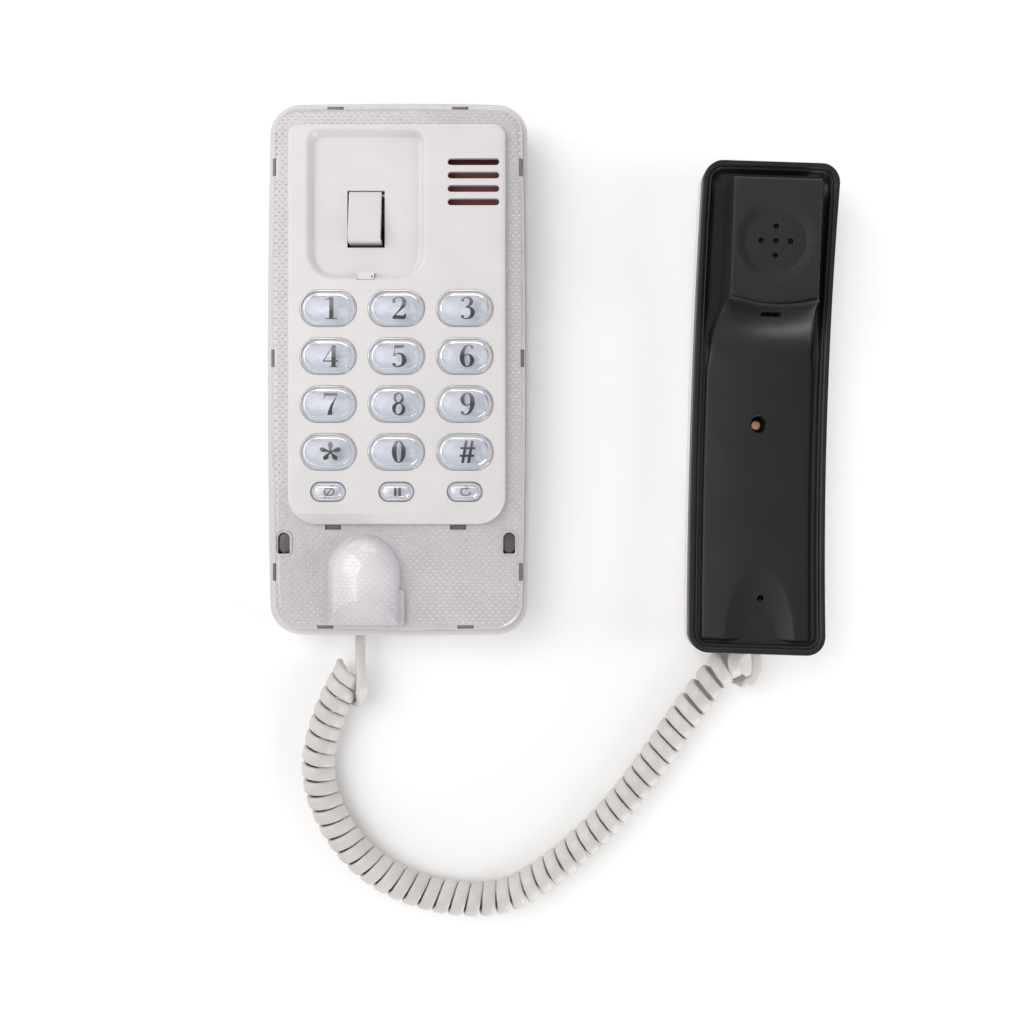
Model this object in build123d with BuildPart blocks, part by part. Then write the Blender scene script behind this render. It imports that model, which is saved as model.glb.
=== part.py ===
from build123d import *
import os
from math import cos, pi, radians, sin, sqrt, tan

# Slimline wall phone, in millimetres.
# The base lies on its back: z = 0 is its flat back, +Z points out of its face and +Y to its top.
# The origin is on the back, midway between the two keyholes.
# The handset lies face up to the right of the base, and the curly cord runs round below both.

os.makedirs("parts", exist_ok=True)

# ---- driving dimensions: base -------------------------------------------------------------
BASE_LOW_END = -101.75
BASE_HIGH_END = 102.9
BASE_HALF_MIDDLE = 50.5
BASE_HALF_END = 49.2
BASE_CROWN = 0.8
BASE_CORNER = 12.0
FLOOR = 2.2
FLOOR_EDGE = 2.0
FIT = 0.1
REAR_TOP = 20.0
LEDGE_TOP = 17.0
LEDGE_WALL = 3.0
COVER_TOP = 25.0
COVER_SKIN = 2.0
COVER_INSET = 1.9
COVER_INSET_FOOT = 2.3
COVER_EDGE = 3.0
PLATE_TOP = 29.0
PLATE_SKIN = 1.8
PLATE_HALF_WIDTH = 41.0
PLATE_LOW = -58.7
PLATE_HIGH = 92.1
PLATE_EDGE = 1.5
PLATE_FOOT_BEVEL = 3.8
PLATE_CORNER_LOW = 10.5
PLATE_CORNER_HIGH = 4.5
OPENING_HALF = 38.4
OPENING_LOW = -56.2
OPENING_HIGH = 90.4
OPENING_CORNER_LOW = 6.0
OPENING_CORNER_HIGH = 3.0
END_CATCHES = [(-23.6, 99.4), (23.8, 99.4), (-27.6, -98.0), (25.8, -98.0)]
END_CATCH = (6.2, 1.4)
FOOT_CATCHES = [(-24.5, -60.0), (23.0, -60.0)]
FOOT_CATCH = (6.1, 1.8)
SIDE_CATCHES = [(-46.9, 77.0), (-47.5, 4.3), (-46.9, -77.0), (46.9, 77.0), (47.5, 4.3), (46.9, -77.0)]
SIDE_CATCH = (1.5, 6.6)
WINDOW_DEPTH = 3.0
POCKETS = [(-43.2, -66.0), (42.4, -66.0)]
POCKET_LENGTH = 8.0
POCKET_WIDTH = 4.5
RIB_INSET = 1.9
PLATE_LIP = 2.2
PLATE_HOLLOW_LOW = 4.6
PLATE_HOLLOW_HIGH = 1.8
PLATE_HOLLOW_CORNERS = (7.5, 3.0)
RINGER_X = 29.0
RINGER_Y = 70.0
RINGER_SLOTS = 4
RINGER_SLOT_LENGTH = 19.5
RINGER_SLOT_WIDTH = 2.6
RINGER_PITCH = 5.03

# ---- dome that the handset's scoop meets ------------------------------------------------------
DOME_X = -12.6
DOME_Y = -77.5
DOME_Z = 23.2
DOME_RADIUS = 13.9
DOME_HALF_LENGTH = 15.0
DOME_FOOT_TOP = 27.6
DOME_SLOPE_Y = -87.0
DOME_BLOCK_X = -12.2
DOME_BLOCK_WIDTH = 30.0
DOME_BLOCK_CORNER = 1.5
DOME_BLOCK_RISE = 2.4
FOOT_LOW = -97.0
FOOT_HIGH = -83.5

# ---- posts and screws -----------------------------------------------------------------------------
CASE_POST = 3.4
SCREW_WELL = 2.9
SCREW_SEAT = 8.0
SCREW_BORE = 1.6
COVER_POST_LOW = 12.0
COVER_PILOT = 1.3
COVER_PILOT_DEPTH = 9.0
BOARD_POST = 2.8
PILOT = 1.05
PILOT_FLOOR = 1.0
CASE_SCREW_HEAD = (2.7, 2.2)
CASE_SCREW_SHANK = (1.25, 12.0)
CASE_SCREW_CROSS = (3.2, 0.8, 0.9)
BOARD_SCREW_HEAD = (2.2, 1.4)
BOARD_SCREW_SHANK = (1.0, 6.0)
KEYPAD_SCREW_HEAD = (2.2, 1.0)
KEYPAD_SCREW_SHANK = (1.0, 7.0)

# ---- keypad ----------------------------------------------------------------------------------
KEY_LENGTH = 21.3
KEY_WIDTH = 13.7
KEY_PITCH_X = 25.7
KEY_PITCH_Y = 18.0
KEY_TOP_ROW = 22.4
KEY_CROWN = 31.5
SMALL_LENGTH = 13.1
SMALL_WIDTH = 7.2
SMALL_ROW = -46.6
SMALL_CROWN = 30.6
KEY_EDGE = 2.4
SMALL_EDGE = 1.2
KEY_GAP = 0.25
FLANGE = 0.8
FLANGE_LOW = 25.7
FLANGE_HIGH = 27.1
KEY_TRAVEL = 1.5
BOARD_LOW = 19.8
BOARD_THICK = 1.6
SHEET_LOW = 21.5
SHEET_TOP = 22.5
SHEET_WIDTH = 75.2
SHEET_LENGTH = 83.4
SHEET_Y = -10.8
SHEET_CORNER = 2.0
SHEET_HOLE = 2.6
BUTTON = 4.0
SMALL_BUTTON = 2.6
BUTTON_SLOPE = 10.0
SCREW_PASSAGE = 1.2
LINE_BOARD_TOP = 11.1
LINE_BOARD_SIZE = (76.0, 43.0)
LINE_BOARD_Y = 36.0
RELAYS = [(20.0, 40.0), (20.0, 27.0)]
RELAY_SIZE = (16.0, 8.0, 3.6)
CAPACITORS = [(4.0, 24.0), (4.0, 34.0), (-26.0, 24.0), (-26.0, 34.0)]
CAPACITOR_SIZE = (3.0, 7.0)
COIL_AT = (-13.0, 31.0)
COIL_SIZE = (10.0, 12.0, 7.5)
RIBBON_AT = (14.0, 18.5)
RIBBON_SIZE = (20.0, 0.6)
SPEAKER_CONE = (13.5, 4.4)
SPEAKER_MAGNET = (8.0, 3.5)
SPEAKER_LOW = 14.5
SPEAKER_DISH = (11.0, 1.2)

# ---- rest for the receiver end, with the switch lever -------------------------------------------
RECESS_X = -11.4
RECESS_Y = 61.7
RECESS_WIDTH = 44.4
RECESS_LENGTH = 56.4
RECESS_DEPTH = 2.8
RECESS_SLOPE = 36.0
RECESS_BLEND = 1.2
RECESS_CORNERS = (10.5, 5.0)
PAN_SKIN = 1.6
PAN_MARGIN = (2.0, 0.8)
PAN_CORNER = 4.0
LEVER_X = -12.0
LEVER_WIDTH = 12.2
LEVER_PIVOT_Y = 66.5
LEVER_PIVOT_Z = 23.0
LEVER_SLOT_X = -11.8
LEVER_SLOT_WIDTH = 14.2
LEVER_SLOT_LOW = 45.9
LEVER_SLOT_HIGH = 67.5
PIN_RADIUS = 1.0
PIN_HALF_LENGTH = 9.4
PIN_PLAY = 0.06
EAR_OFFSET = 8.4
EAR_SIZE = (2.0, 4.4)
EAR_DROP = 2.2
LEVER_EYE = 1.8
LEVER_LIP_EDGE = 1.2
LEVER_SIDE = [
    (67.2, 23.0),
    (66.9, 26.4),
    (65.9, 27.1),
    (49.6, 31.0),
    (47.2, 29.6),
    (47.2, 21.5),
    (48.7, 21.5),
    (48.7, 28.7),
    (64.6, 25.0),
    (64.6, 23.0),
]
TAB_X = -11.5
TAB_Y = 34.7
TAB_SIZE = (6.1, 2.9)
TAB_TONGUE_Y = 32.2
TAB_TONGUE = (6.1, 2.4, 0.75)
TAB_LOW_Z = 26.35
TAB_HOLE = (-9.2, 34.4)
TAB_HOLE_SIZE = (0.35, 1.5)
NOTCH_Y = 35.2
NOTCH = (6.5, 4.2, 2.75)
GUIDE_Y = 32.6
GUIDE = (6.5, 3.8, 0.95)
SPRING_Y = 53.5
SPRING_RADIUS = 1.7
SPRING_PITCH = 2.0
SPRING_HEIGHT = 15.8
SPRING_WIRE = 0.25
SPRING_FOOT = 0.3
SWITCH_Y = 47.9
SWITCH_SIZE = (12.8, 6.2, 4.4)
SWITCH_BUTTON = (1.4, 1.4)

# ---- jacks, wall fixing ---------------------------------------------------------------------------
KEYHOLE_SPACING = 82.55
KEYHOLE_RADIUS = 4.5
KEYHOLE_SLOT = 2.3
KEYHOLE_RUN = 7.0
CORD_JACK_X = -16.3
LINE_JACK_X = 22.0
JACK_Z = 9.0
CORD_MOUTH = (8.4, 7.4)
LINE_MOUTH = (15.4, 11.8)
LINE_JACK_RECESS = 0.5
JACK_CLEARANCE = 0.6
CORD_JACK = (12.0, 11.0, 14.0)
CORD_SOCKET = (8.0, 7.0, 12.0)
LINE_JACK = (15.0, 11.4, 18.2)
LINE_SOCKET = (10.2, 7.2, 16.0)
PLUG_WIDTH = 7.6
PLUG_HEIGHT = 5.6
PLUG_LATCH = (3.0, 0.4, 4.0)
PLUG_LATCH_DROP = 2.95
BASE_PLUG_LENGTH = 14.5
BASE_PLUG_STANDS = 0.7

# ---- driving dimensions: handset ------------------------------------------------------------------
HANDSET_X = 140.0
HANDSET_Y = -14.5
HANDSET_TILT = 1.85
HANDSET_LENGTH = 188.0
HANDSET_WIDTH = 52.4
HANDSET_CORNER = 7.5
HANDSET_ARC = 550.0
RIM_HEIGHT = 16.0
PARTING_HEIGHT = 11.0
LEDGE_HEIGHT = 12.4
CROWN_HEIGHT = 14.8
HANDSET_SKIN = 2.0
RIM_WIDTH = 3.4
PAD_TOP = 33.5
PAD_WIDTH = 32.8
PAD_LOW = 39.0
PAD_HIGH = 85.0
EARPIECE_V = 61.5
SCREW_V = -5.5
SCOOP_APEX = -61.0
SCOOP_FOOT = -89.6
SCOOP_CYLINDER = 45.0
SCOOP_DEPTH = 2.5
MIC_V = -73.2
HOLE_RADIUS = 1.1
HOLE_PITCH = 5.5
DISH_RADIUS = 15.2
HANGER_SLOT_V = 34.9
SWEEP_MIDDLE = (32.1, 20.2)
SWEEP_END = 18.0
GRIP_HALF_WIDTH = 21.6
SHOULDER_V = 24.0
FACE_SKIN = 1.8
HOLLOW_FOOT = -58.0
WELL_RADIUS = 3.35
WELL_FLOOR = 7.6
BOSS_LOW = 6.4
BOSS_HIGH = 14.2
POST_TOP = 6.1
EXIT_U = 1.94
EXIT_Z = 13.2
EXIT_MOUTH = (8.2, 6.6)
EXIT_DEPTH = 6.0
INNER_JACK = (11.0, 7.0, 11.0)
INNER_SOCKET = (8.0, 6.4, 10.0)
INNER_JACK_DEPTH = 2.2
INNER_PLUG_LENGTH = 11.5
INNER_PLUG_STANDS = 0.4
BACK_EDGE = 5.0
BACK_POST = 3.0
BACK_PILOT = 1.2
BACK_PILOT_FLOOR = 0.6
FACE_CORNER = 2.0
BOSS_RADIUS = 4.6
BOSS_BORE = 1.5
DISH_DEPTH = 0.5
HANGER_SLOT = (7.6, 1.6, 13.0)
CAPSULE_V = -71.5
CAPSULE_LOW = 11.0
CAPSULE_SIZE = (4.5, 3.2)
BOOT_LOW = 10.0
BOOT_SIZE = (5.4, 4.6)
BOOT_BORE = 4.55
RECEIVER_RADIUS = 14.3
RECEIVER_DEPTH = 8.0
RECEIVER_THICK = 7.0
GASKET_DEPTH = 0.95
GASKET_THICK = 0.9
GASKET_BORE = 11.5
WEIGHT_V = -34.0
WEIGHT_SIZE = (24.0, 42.0, 3.4)
WEIGHT_CORNER = 2.0
WEIGHT_LOW = 5.2
HANDSET_SCREW_HEAD = (2.2, 1.7)
HANDSET_SCREW_EDGE = 0.7
HANDSET_SCREW_CROSS = (2.6, 0.6, 1.0)
HANDSET_SCREW_SHANK = (1.15, 4.4)

# ---- cord ---------------------------------------------------------------------------------------
CORD_WIDTH = 4.8
COIL_DIAMETER = 13.2
TANGENT_SHARE = 0.45
COIL_ROUTE = [
    (-21.6, -119.0, 6.6),
    (-30.2, -136.0, 6.6),
    (-35.0, -157.5, 6.6),
    (-26.5, -180.5, 6.6),
    (-10.0, -198.0, 6.6),
    (14.0, -207.5, 6.6),
    (40.0, -208.5, 6.6),
    (62.0, -195.0, 6.6),
    (84.0, -174.5, 6.6),
    (103.0, -149.0, 6.6),
    (115.0, -131.0, 6.6),
    (126.0, -117.8, 6.6),
]
BASE_TAIL = [
    (CORD_JACK_X, -102.45, 9.0),
    (-16.2, -107.6, 8.8),
    (-17.8, -113.6, 7.6),
    (-21.6, -119.0, 6.6),
]
HANDSET_TAIL = [
    (128.2, -115.3, 6.6),
    (133.0, -118.0, 7.2),
    (137.3, -118.4, 9.6),
    (139.2, -114.4, 12.6),
    (138.9, -108.9, 13.2),
]


# ---- shared outlines and helpers ------------------------------------------------------------------
def barrel(low, high, inset):
    """Outline of the base with bowed sides and crowned ends, drawn in by an inset."""
    half_end = BASE_HALF_END - inset
    half_middle = BASE_HALF_MIDDLE - inset
    with BuildSketch() as outline:
        with BuildLine():
            ThreePointArc((-half_end, low), (-half_middle, 0), (-half_end, high))
            ThreePointArc((-half_end, high), (0, high + BASE_CROWN), (half_end, high))
            ThreePointArc((half_end, high), (half_middle, 0), (half_end, low))
            ThreePointArc((half_end, low), (0, low - BASE_CROWN), (-half_end, low))
        make_face()
        fillet(outline.vertices(), BASE_CORNER - inset)
    return outline.sketch


def rounded(half_width, low, high, corner_low, corner_high):
    """Upright rounded rectangle with its own radius at each end."""
    with BuildSketch() as outline:
        with Locations((0, (low + high) / 2)):
            Rectangle(2 * half_width, high - low)
        fillet(outline.vertices().sort_by(Axis.Y)[:2], corner_low)
        fillet(outline.vertices().sort_by(Axis.Y)[-2:], corner_high)
    return outline.sketch


def arc_height(v, height):
    """Height above the surface of a curve that runs along the handset, v from its middle."""
    return height + HANDSET_ARC - sqrt(HANDSET_ARC**2 - v**2)


def band(low, high, reach):
    """Side view of the layer between two of the handset's long curves."""
    with BuildSketch() as layer:
        with BuildLine():
            ThreePointArc((-reach, arc_height(reach, low)), (0, low), (reach, arc_height(reach, low)))
            Line((reach, arc_height(reach, low)), (reach, arc_height(reach, high)))
            ThreePointArc((reach, arc_height(reach, high)), (0, high), (-reach, arc_height(reach, high)))
            Line((-reach, arc_height(reach, high)), (-reach, arc_height(reach, low)))
        make_face()
    return layer.sketch


def route_radii(points):
    """Tangent arc at each bend, as large as its two runs allow."""
    radii = []
    for before, corner, after in zip(points, points[1:], points[2:]):
        first = Vector(*corner) - Vector(*before)
        second = Vector(*after) - Vector(*corner)
        turn = radians(first.get_angle(second))
        radii.append(TANGENT_SHARE * min(first.length, second.length) / tan(turn / 2))
    return radii


def key_centres():
    """Name and centre of each key, row by row."""
    names = ["1", "2", "3", "4", "5", "6", "7", "8", "9", "star", "0", "hash"]
    centres = []
    for number, name in enumerate(names):
        row, column = divmod(number, 3)
        centres.append((name, ((column - 1) * KEY_PITCH_X, KEY_TOP_ROW - row * KEY_PITCH_Y)))
    return centres


def small_key_centres():
    """Name and centre of each function key."""
    names = ["mute", "pause", "redial"]
    return [(name, ((place - 1) * KEY_PITCH_X, SMALL_ROW)) for place, name in enumerate(names)]


base_low = BASE_LOW_END + BASE_CROWN
base_high = BASE_HIGH_END - BASE_CROWN
cover_low = base_low + COVER_INSET_FOOT
cover_high = base_high - COVER_INSET
LINE_BOARD_LOW = LINE_BOARD_TOP - BOARD_THICK
key_places = [centre for name, centre in key_centres()]
small_places = [centre for name, centre in small_key_centres()]
case_screw_places = [(-43, 60), (43, 60), (-40, -88), (40, -88)]
keypad_post_places = [(-34, 10), (34, 10), (-34, -49.5), (34, -49.5)]
board_post_places = [(-34, 18), (34, 18), (-34, 53), (34, 53)]

# =============================================================================================
# Base
# =============================================================================================
with BuildPart() as rear_floor:
    with BuildSketch():
        add(barrel(base_low, base_high, 0))
    extrude(amount=FLOOR)
    fillet(rear_floor.faces().sort_by(Axis.Z)[0].edges(), FLOOR_EDGE)
    with BuildSketch():
        with Locations(*case_screw_places):
            Circle(SCREW_WELL)
    extrude(amount=FLOOR, mode=Mode.SUBTRACT)
    # keyholes for two wall studs
    with BuildSketch():
        with Locations((0, -KEYHOLE_SPACING / 2), (0, KEYHOLE_SPACING / 2)):
            Circle(KEYHOLE_RADIUS)
        with Locations(
            (0, (KEYHOLE_RUN - KEYHOLE_SPACING) / 2),
            (0, (KEYHOLE_RUN + KEYHOLE_SPACING) / 2),
        ):
            SlotCenterToCenter(KEYHOLE_RUN, 2 * KEYHOLE_SLOT, rotation=90)
    extrude(amount=FLOOR, mode=Mode.SUBTRACT)
rear_floor.part.label = "rear_floor"
export_step(rear_floor.part, "parts/rear_floor.step")

with BuildPart() as rear_wall:
    with BuildSketch(Plane.XY.offset(FLOOR)):
        add(barrel(base_low, base_high, 0))
        add(barrel(base_low + LEDGE_WALL, base_high - LEDGE_WALL, LEDGE_WALL), mode=Mode.SUBTRACT)
    extrude(amount=REAR_TOP - FLOOR)
    with BuildSketch(Plane.XY.offset(LEDGE_TOP)):
        add(barrel(cover_low - FIT, cover_high + FIT, COVER_INSET - FIT))
    extrude(amount=REAR_TOP, mode=Mode.SUBTRACT)
    # mouths of the two jacks
    with BuildSketch(Plane.XZ.offset(1 - BASE_LOW_END)):
        with Locations((CORD_JACK_X, JACK_Z)):
            Rectangle(*CORD_MOUTH)
    extrude(amount=-2 * LEDGE_WALL, mode=Mode.SUBTRACT)
    with BuildSketch(Plane.XZ.offset(-BASE_HIGH_END - 1)):
        with Locations((LINE_JACK_X, JACK_Z)):
            Rectangle(*LINE_MOUTH)
    extrude(amount=2 * LEDGE_WALL, mode=Mode.SUBTRACT)
rear_wall.part.label = "rear_wall"
export_step(rear_wall.part, "parts/rear_wall.step")

# posts for the case screws, the keypad board and the line board
with BuildPart() as rear_posts:
    with BuildSketch(Plane.XY.offset(FLOOR)):
        with Locations(*case_screw_places):
            Circle(CASE_POST)
            Circle(SCREW_WELL, mode=Mode.SUBTRACT)
    extrude(amount=SCREW_SEAT - FLOOR)
    with BuildSketch(Plane.XY.offset(SCREW_SEAT)):
        with Locations(*case_screw_places):
            Circle(CASE_POST)
            Circle(SCREW_BORE, mode=Mode.SUBTRACT)
    extrude(amount=COVER_POST_LOW - FIT - SCREW_SEAT)
    with BuildSketch(Plane.XY.offset(FLOOR)):
        with Locations(*keypad_post_places):
            Circle(BOARD_POST)
    extrude(amount=BOARD_LOW - FLOOR)
    with BuildSketch(Plane.XY.offset(FLOOR)):
        with Locations(*board_post_places):
            Circle(BOARD_POST)
    extrude(amount=LINE_BOARD_LOW - FLOOR)
    with BuildSketch(Plane.XY.offset(FLOOR + PILOT_FLOOR)):
        with Locations(*board_post_places):
            Circle(PILOT)
    extrude(amount=REAR_TOP, mode=Mode.SUBTRACT)
    with BuildSketch(Plane.XY.offset(COVER_POST_LOW)):
        with Locations(*keypad_post_places):
            Circle(PILOT)
    extrude(amount=REAR_TOP, mode=Mode.SUBTRACT)
rear_posts.part.label = "rear_posts"
export_step(rear_posts.part, "parts/rear_posts.step")

# ---- clear cover: fills the rim, carries the dome that the handset's scoop meets ----------------
dome_plane = Plane(origin=(DOME_X, DOME_Y, DOME_Z), x_dir=(0, 1, 0), z_dir=(1, 0, 0))


def half_ellipse(length, radius):
    """Upper half of an ellipse, to be turned about its long axis."""
    with BuildSketch() as half:
        Ellipse(length, radius)
        with Locations((0, -radius)):
            Rectangle(2.2 * length, 2 * radius, mode=Mode.SUBTRACT)
    return half.sketch


def dome_solid(inset, low):
    """Arched bump above a level: rounded at its upper end, sloping at its foot, drawn in by an inset."""
    radius = DOME_RADIUS - inset
    foot = FOOT_LOW + inset
    crest = DOME_Z + DOME_RADIUS - inset
    with BuildPart() as bump:
        with BuildSketch(dome_plane):
            add(half_ellipse(DOME_HALF_LENGTH - inset, radius))
        revolve(axis=Axis((DOME_X, DOME_Y, DOME_Z), (0, 1, 0)))
        with BuildSketch(Plane.XZ.offset(-DOME_Y)):
            with Locations((DOME_X, DOME_Z)):
                Circle(radius)
        extrude(amount=DOME_Y - foot)
        with BuildSketch(Plane.YZ.offset(DOME_X)):
            Polygon(
                (DOME_SLOPE_Y, crest),
                (foot, DOME_FOOT_TOP - inset),
                (foot, DOME_Z - 2 * DOME_RADIUS),
                (foot - DOME_HALF_LENGTH, DOME_Z - 2 * DOME_RADIUS),
                (foot - DOME_HALF_LENGTH, crest + DOME_RADIUS),
                (DOME_SLOPE_Y, crest + DOME_RADIUS),
                align=None,
            )
        extrude(amount=2 * DOME_RADIUS, both=True, mode=Mode.SUBTRACT)
        with BuildSketch(Plane.XY.offset(low)):
            Rectangle(2 * BASE_HALF_MIDDLE, 2 * BASE_HIGH_END)
        extrude(amount=-2 * DOME_RADIUS, mode=Mode.SUBTRACT)
    return bump.part


with BuildPart() as clear_cover:
    with BuildSketch(Plane.XY.offset(LEDGE_TOP)):
        add(barrel(cover_low, cover_high, COVER_INSET))
    extrude(amount=COVER_TOP - LEDGE_TOP)
    fillet(clear_cover.faces().sort_by(Axis.Z)[-1].edges(), COVER_EDGE)
    with BuildSketch(Plane.XY.offset(LEDGE_TOP)):
        add(barrel(cover_low + COVER_SKIN, cover_high - COVER_SKIN, COVER_INSET + COVER_SKIN))
    extrude(amount=COVER_TOP - COVER_SKIN - LEDGE_TOP, mode=Mode.SUBTRACT)
    with BuildSketch(Plane.XY.offset(COVER_TOP - 1)):
        with Locations((DOME_BLOCK_X, (FOOT_LOW + FOOT_HIGH) / 2)):
            RectangleRounded(DOME_BLOCK_WIDTH, FOOT_HIGH - FOOT_LOW, DOME_BLOCK_CORNER)
    extrude(amount=DOME_BLOCK_RISE + 1)
    add(dome_solid(0, COVER_TOP - 1))
    add(dome_solid(COVER_SKIN, COVER_TOP - COVER_SKIN - 0.5), mode=Mode.SUBTRACT)
    with BuildSketch(Plane.XY.offset(COVER_TOP)):
        add(rounded(OPENING_HALF, OPENING_LOW, OPENING_HIGH, OPENING_CORNER_LOW, OPENING_CORNER_HIGH))
    extrude(amount=-2 * COVER_SKIN, mode=Mode.SUBTRACT)
    # windows for the snap catches round the edge and below the face plate
    with BuildSketch(Plane.XY.offset(COVER_TOP)):
        with Locations(*END_CATCHES):
            Rectangle(*END_CATCH)
        with Locations(*FOOT_CATCHES):
            Rectangle(*FOOT_CATCH)
        with Locations(*SIDE_CATCHES):
            Rectangle(*SIDE_CATCH)
    extrude(amount=-WINDOW_DEPTH, mode=Mode.SUBTRACT)
    # arch-topped pockets beside the dome
    with BuildSketch(Plane.XY.offset(COVER_TOP)):
        with Locations(*POCKETS):
            SlotOverall(POCKET_LENGTH, POCKET_WIDTH, rotation=90)
        with Locations(*[(x, y - POCKET_LENGTH / 4) for x, y in POCKETS]):
            Rectangle(POCKET_WIDTH, POCKET_LENGTH / 2)
    extrude(amount=-WINDOW_DEPTH, mode=Mode.SUBTRACT)
    # screw posts
    with BuildSketch(Plane.XY.offset(COVER_POST_LOW)):
        with Locations(*case_screw_places):
            Circle(BOARD_POST)
    extrude(amount=COVER_TOP - COVER_SKIN - COVER_POST_LOW)
    with BuildSketch(Plane.XY.offset(COVER_POST_LOW)):
        with Locations(*case_screw_places):
            Circle(COVER_PILOT)
    extrude(amount=COVER_PILOT_DEPTH, mode=Mode.SUBTRACT)
clear_cover.part.label = "clear_cover"
export_step(clear_cover.part, "parts/clear_cover.step")

# ---- white face plate ---------------------------------------------------------------------------
recess_low = -RECESS_LENGTH / 2
recess_high = RECESS_LENGTH / 2
RECESS_LEVELS = (PLATE_TOP - RECESS_DEPTH - FIT, PLATE_TOP - RECESS_DEPTH + FIT)
recess_plane = Plane(origin=(RECESS_X, RECESS_Y, PLATE_TOP))
pan_low = PLATE_TOP - RECESS_DEPTH - PAN_SKIN
with BuildPart() as face_plate:
    with BuildSketch(Plane.XY.offset(COVER_TOP)):
        add(rounded(PLATE_HALF_WIDTH, PLATE_LOW, PLATE_HIGH, PLATE_CORNER_LOW, PLATE_CORNER_HIGH))
    extrude(amount=PLATE_TOP - COVER_TOP)
    fillet(face_plate.faces().sort_by(Axis.Z)[-1].edges(), PLATE_EDGE)
    with BuildSketch(Plane.YZ):
        Polygon(
            (PLATE_LOW, COVER_TOP + PLATE_LIP),
            (PLATE_LOW, PLATE_TOP + PLATE_LIP),
            (PLATE_LOW + PLATE_FOOT_BEVEL, PLATE_TOP + PLATE_LIP),
            (PLATE_LOW + PLATE_FOOT_BEVEL, PLATE_TOP),
            align=None,
        )
    extrude(amount=PLATE_HALF_WIDTH, both=True, mode=Mode.SUBTRACT)
    with BuildSketch(Plane.XY.offset(COVER_TOP)):
        hollow_low = PLATE_LOW + PLATE_HOLLOW_LOW
        hollow_high = PLATE_HIGH - PLATE_HOLLOW_HIGH
        add(rounded(PLATE_HALF_WIDTH - RIB_INSET, hollow_low, hollow_high, *PLATE_HOLLOW_CORNERS))
    extrude(amount=PLATE_TOP - PLATE_SKIN - COVER_TOP, mode=Mode.SUBTRACT)
    with BuildSketch(Plane.XY.offset(pan_low)):
        with Locations((RECESS_X, RECESS_Y)):
            RectangleRounded(RECESS_WIDTH + PAN_MARGIN[0], RECESS_LENGTH + PAN_MARGIN[1], PAN_CORNER)
    extrude(amount=PLATE_TOP - PLATE_SKIN - pan_low)
    with BuildSketch(recess_plane):
        add(rounded(RECESS_WIDTH / 2, recess_low, recess_high, *RECESS_CORNERS))
    extrude(amount=-RECESS_DEPTH, taper=RECESS_SLOPE, mode=Mode.SUBTRACT)
    recess_floor = face_plate.faces().filter_by(Plane.XY).filter_by_position(Axis.Z, *RECESS_LEVELS)[0]
    fillet(recess_floor.edges(), RECESS_BLEND)
    recess_edges = face_plate.faces().filter_by(Plane.XY).sort_by(Axis.Z)[-1].inner_wires()[0].edges()
    fillet(recess_edges, RECESS_BLEND)
    with BuildSketch(Plane.XY.offset(PLATE_TOP)):
        with Locations(*key_places):
            SlotOverall(KEY_LENGTH + 2 * KEY_GAP, KEY_WIDTH + 2 * KEY_GAP)
        with Locations(*small_places):
            SlotOverall(SMALL_LENGTH + 2 * KEY_GAP, SMALL_WIDTH + 2 * KEY_GAP)
        with Locations((RINGER_X, RINGER_Y)):
            with GridLocations(0, RINGER_PITCH, 1, RINGER_SLOTS):
                SlotOverall(RINGER_SLOT_LENGTH, RINGER_SLOT_WIDTH)
    extrude(amount=-2 * PLATE_SKIN, mode=Mode.SUBTRACT)
    # opening for the lever, with two ears below it for the lever's pin
    with BuildSketch(Plane.XY.offset(PLATE_TOP)):
        with Locations((LEVER_SLOT_X, (LEVER_SLOT_LOW + LEVER_SLOT_HIGH) / 2)):
            Rectangle(LEVER_SLOT_WIDTH, LEVER_SLOT_HIGH - LEVER_SLOT_LOW)
    extrude(amount=pan_low - PLATE_TOP, mode=Mode.SUBTRACT)
    with BuildSketch(Plane.XY.offset(pan_low)):
        with Locations((LEVER_X - EAR_OFFSET, LEVER_PIVOT_Y), (LEVER_X + EAR_OFFSET, LEVER_PIVOT_Y)):
            Rectangle(*EAR_SIZE)
    extrude(amount=LEVER_PIVOT_Z - EAR_DROP - pan_low)
    with BuildSketch(Plane.YZ.offset(LEVER_X)):
        with Locations((LEVER_PIVOT_Y, LEVER_PIVOT_Z)):
            Circle(PIN_RADIUS)
    extrude(amount=PIN_HALF_LENGTH + EAR_SIZE[0], both=True, mode=Mode.SUBTRACT)
    # notch and guide for the reversible hanger tab
    with BuildSketch(Plane.XY.offset(PLATE_TOP)):
        with Locations((TAB_X, NOTCH_Y)):
            Rectangle(*NOTCH[:2])
    extrude(amount=-NOTCH[2], mode=Mode.SUBTRACT)
    with BuildSketch(Plane.XY.offset(PLATE_TOP - NOTCH[2])):
        with Locations((TAB_X, GUIDE_Y)):
            Rectangle(*GUIDE[:2])
    extrude(amount=GUIDE[2], mode=Mode.SUBTRACT)
face_plate.part.label = "face_plate"
export_step(face_plate.part, "parts/face_plate.step")

# ---- hanger tab: turned round, it hooks the handset on a wall ----------------------------------------
with BuildPart() as hanger_tab:
    with BuildSketch(Plane.XY.offset(TAB_LOW_Z)):
        with Locations((TAB_X, TAB_Y)):
            Rectangle(*TAB_SIZE)
    extrude(amount=PLATE_TOP - TAB_LOW_Z)
    with BuildSketch(Plane.XY.offset(TAB_LOW_Z)):
        with Locations((TAB_X, TAB_TONGUE_Y)):
            Rectangle(*TAB_TONGUE[:2])
    extrude(amount=TAB_TONGUE[2])
    with Locations((*TAB_HOLE, PLATE_TOP)):
        Hole(*TAB_HOLE_SIZE)
hanger_tab.part.label = "hanger_tab"
export_step(hanger_tab.part, "parts/hanger_tab.step")

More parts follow.
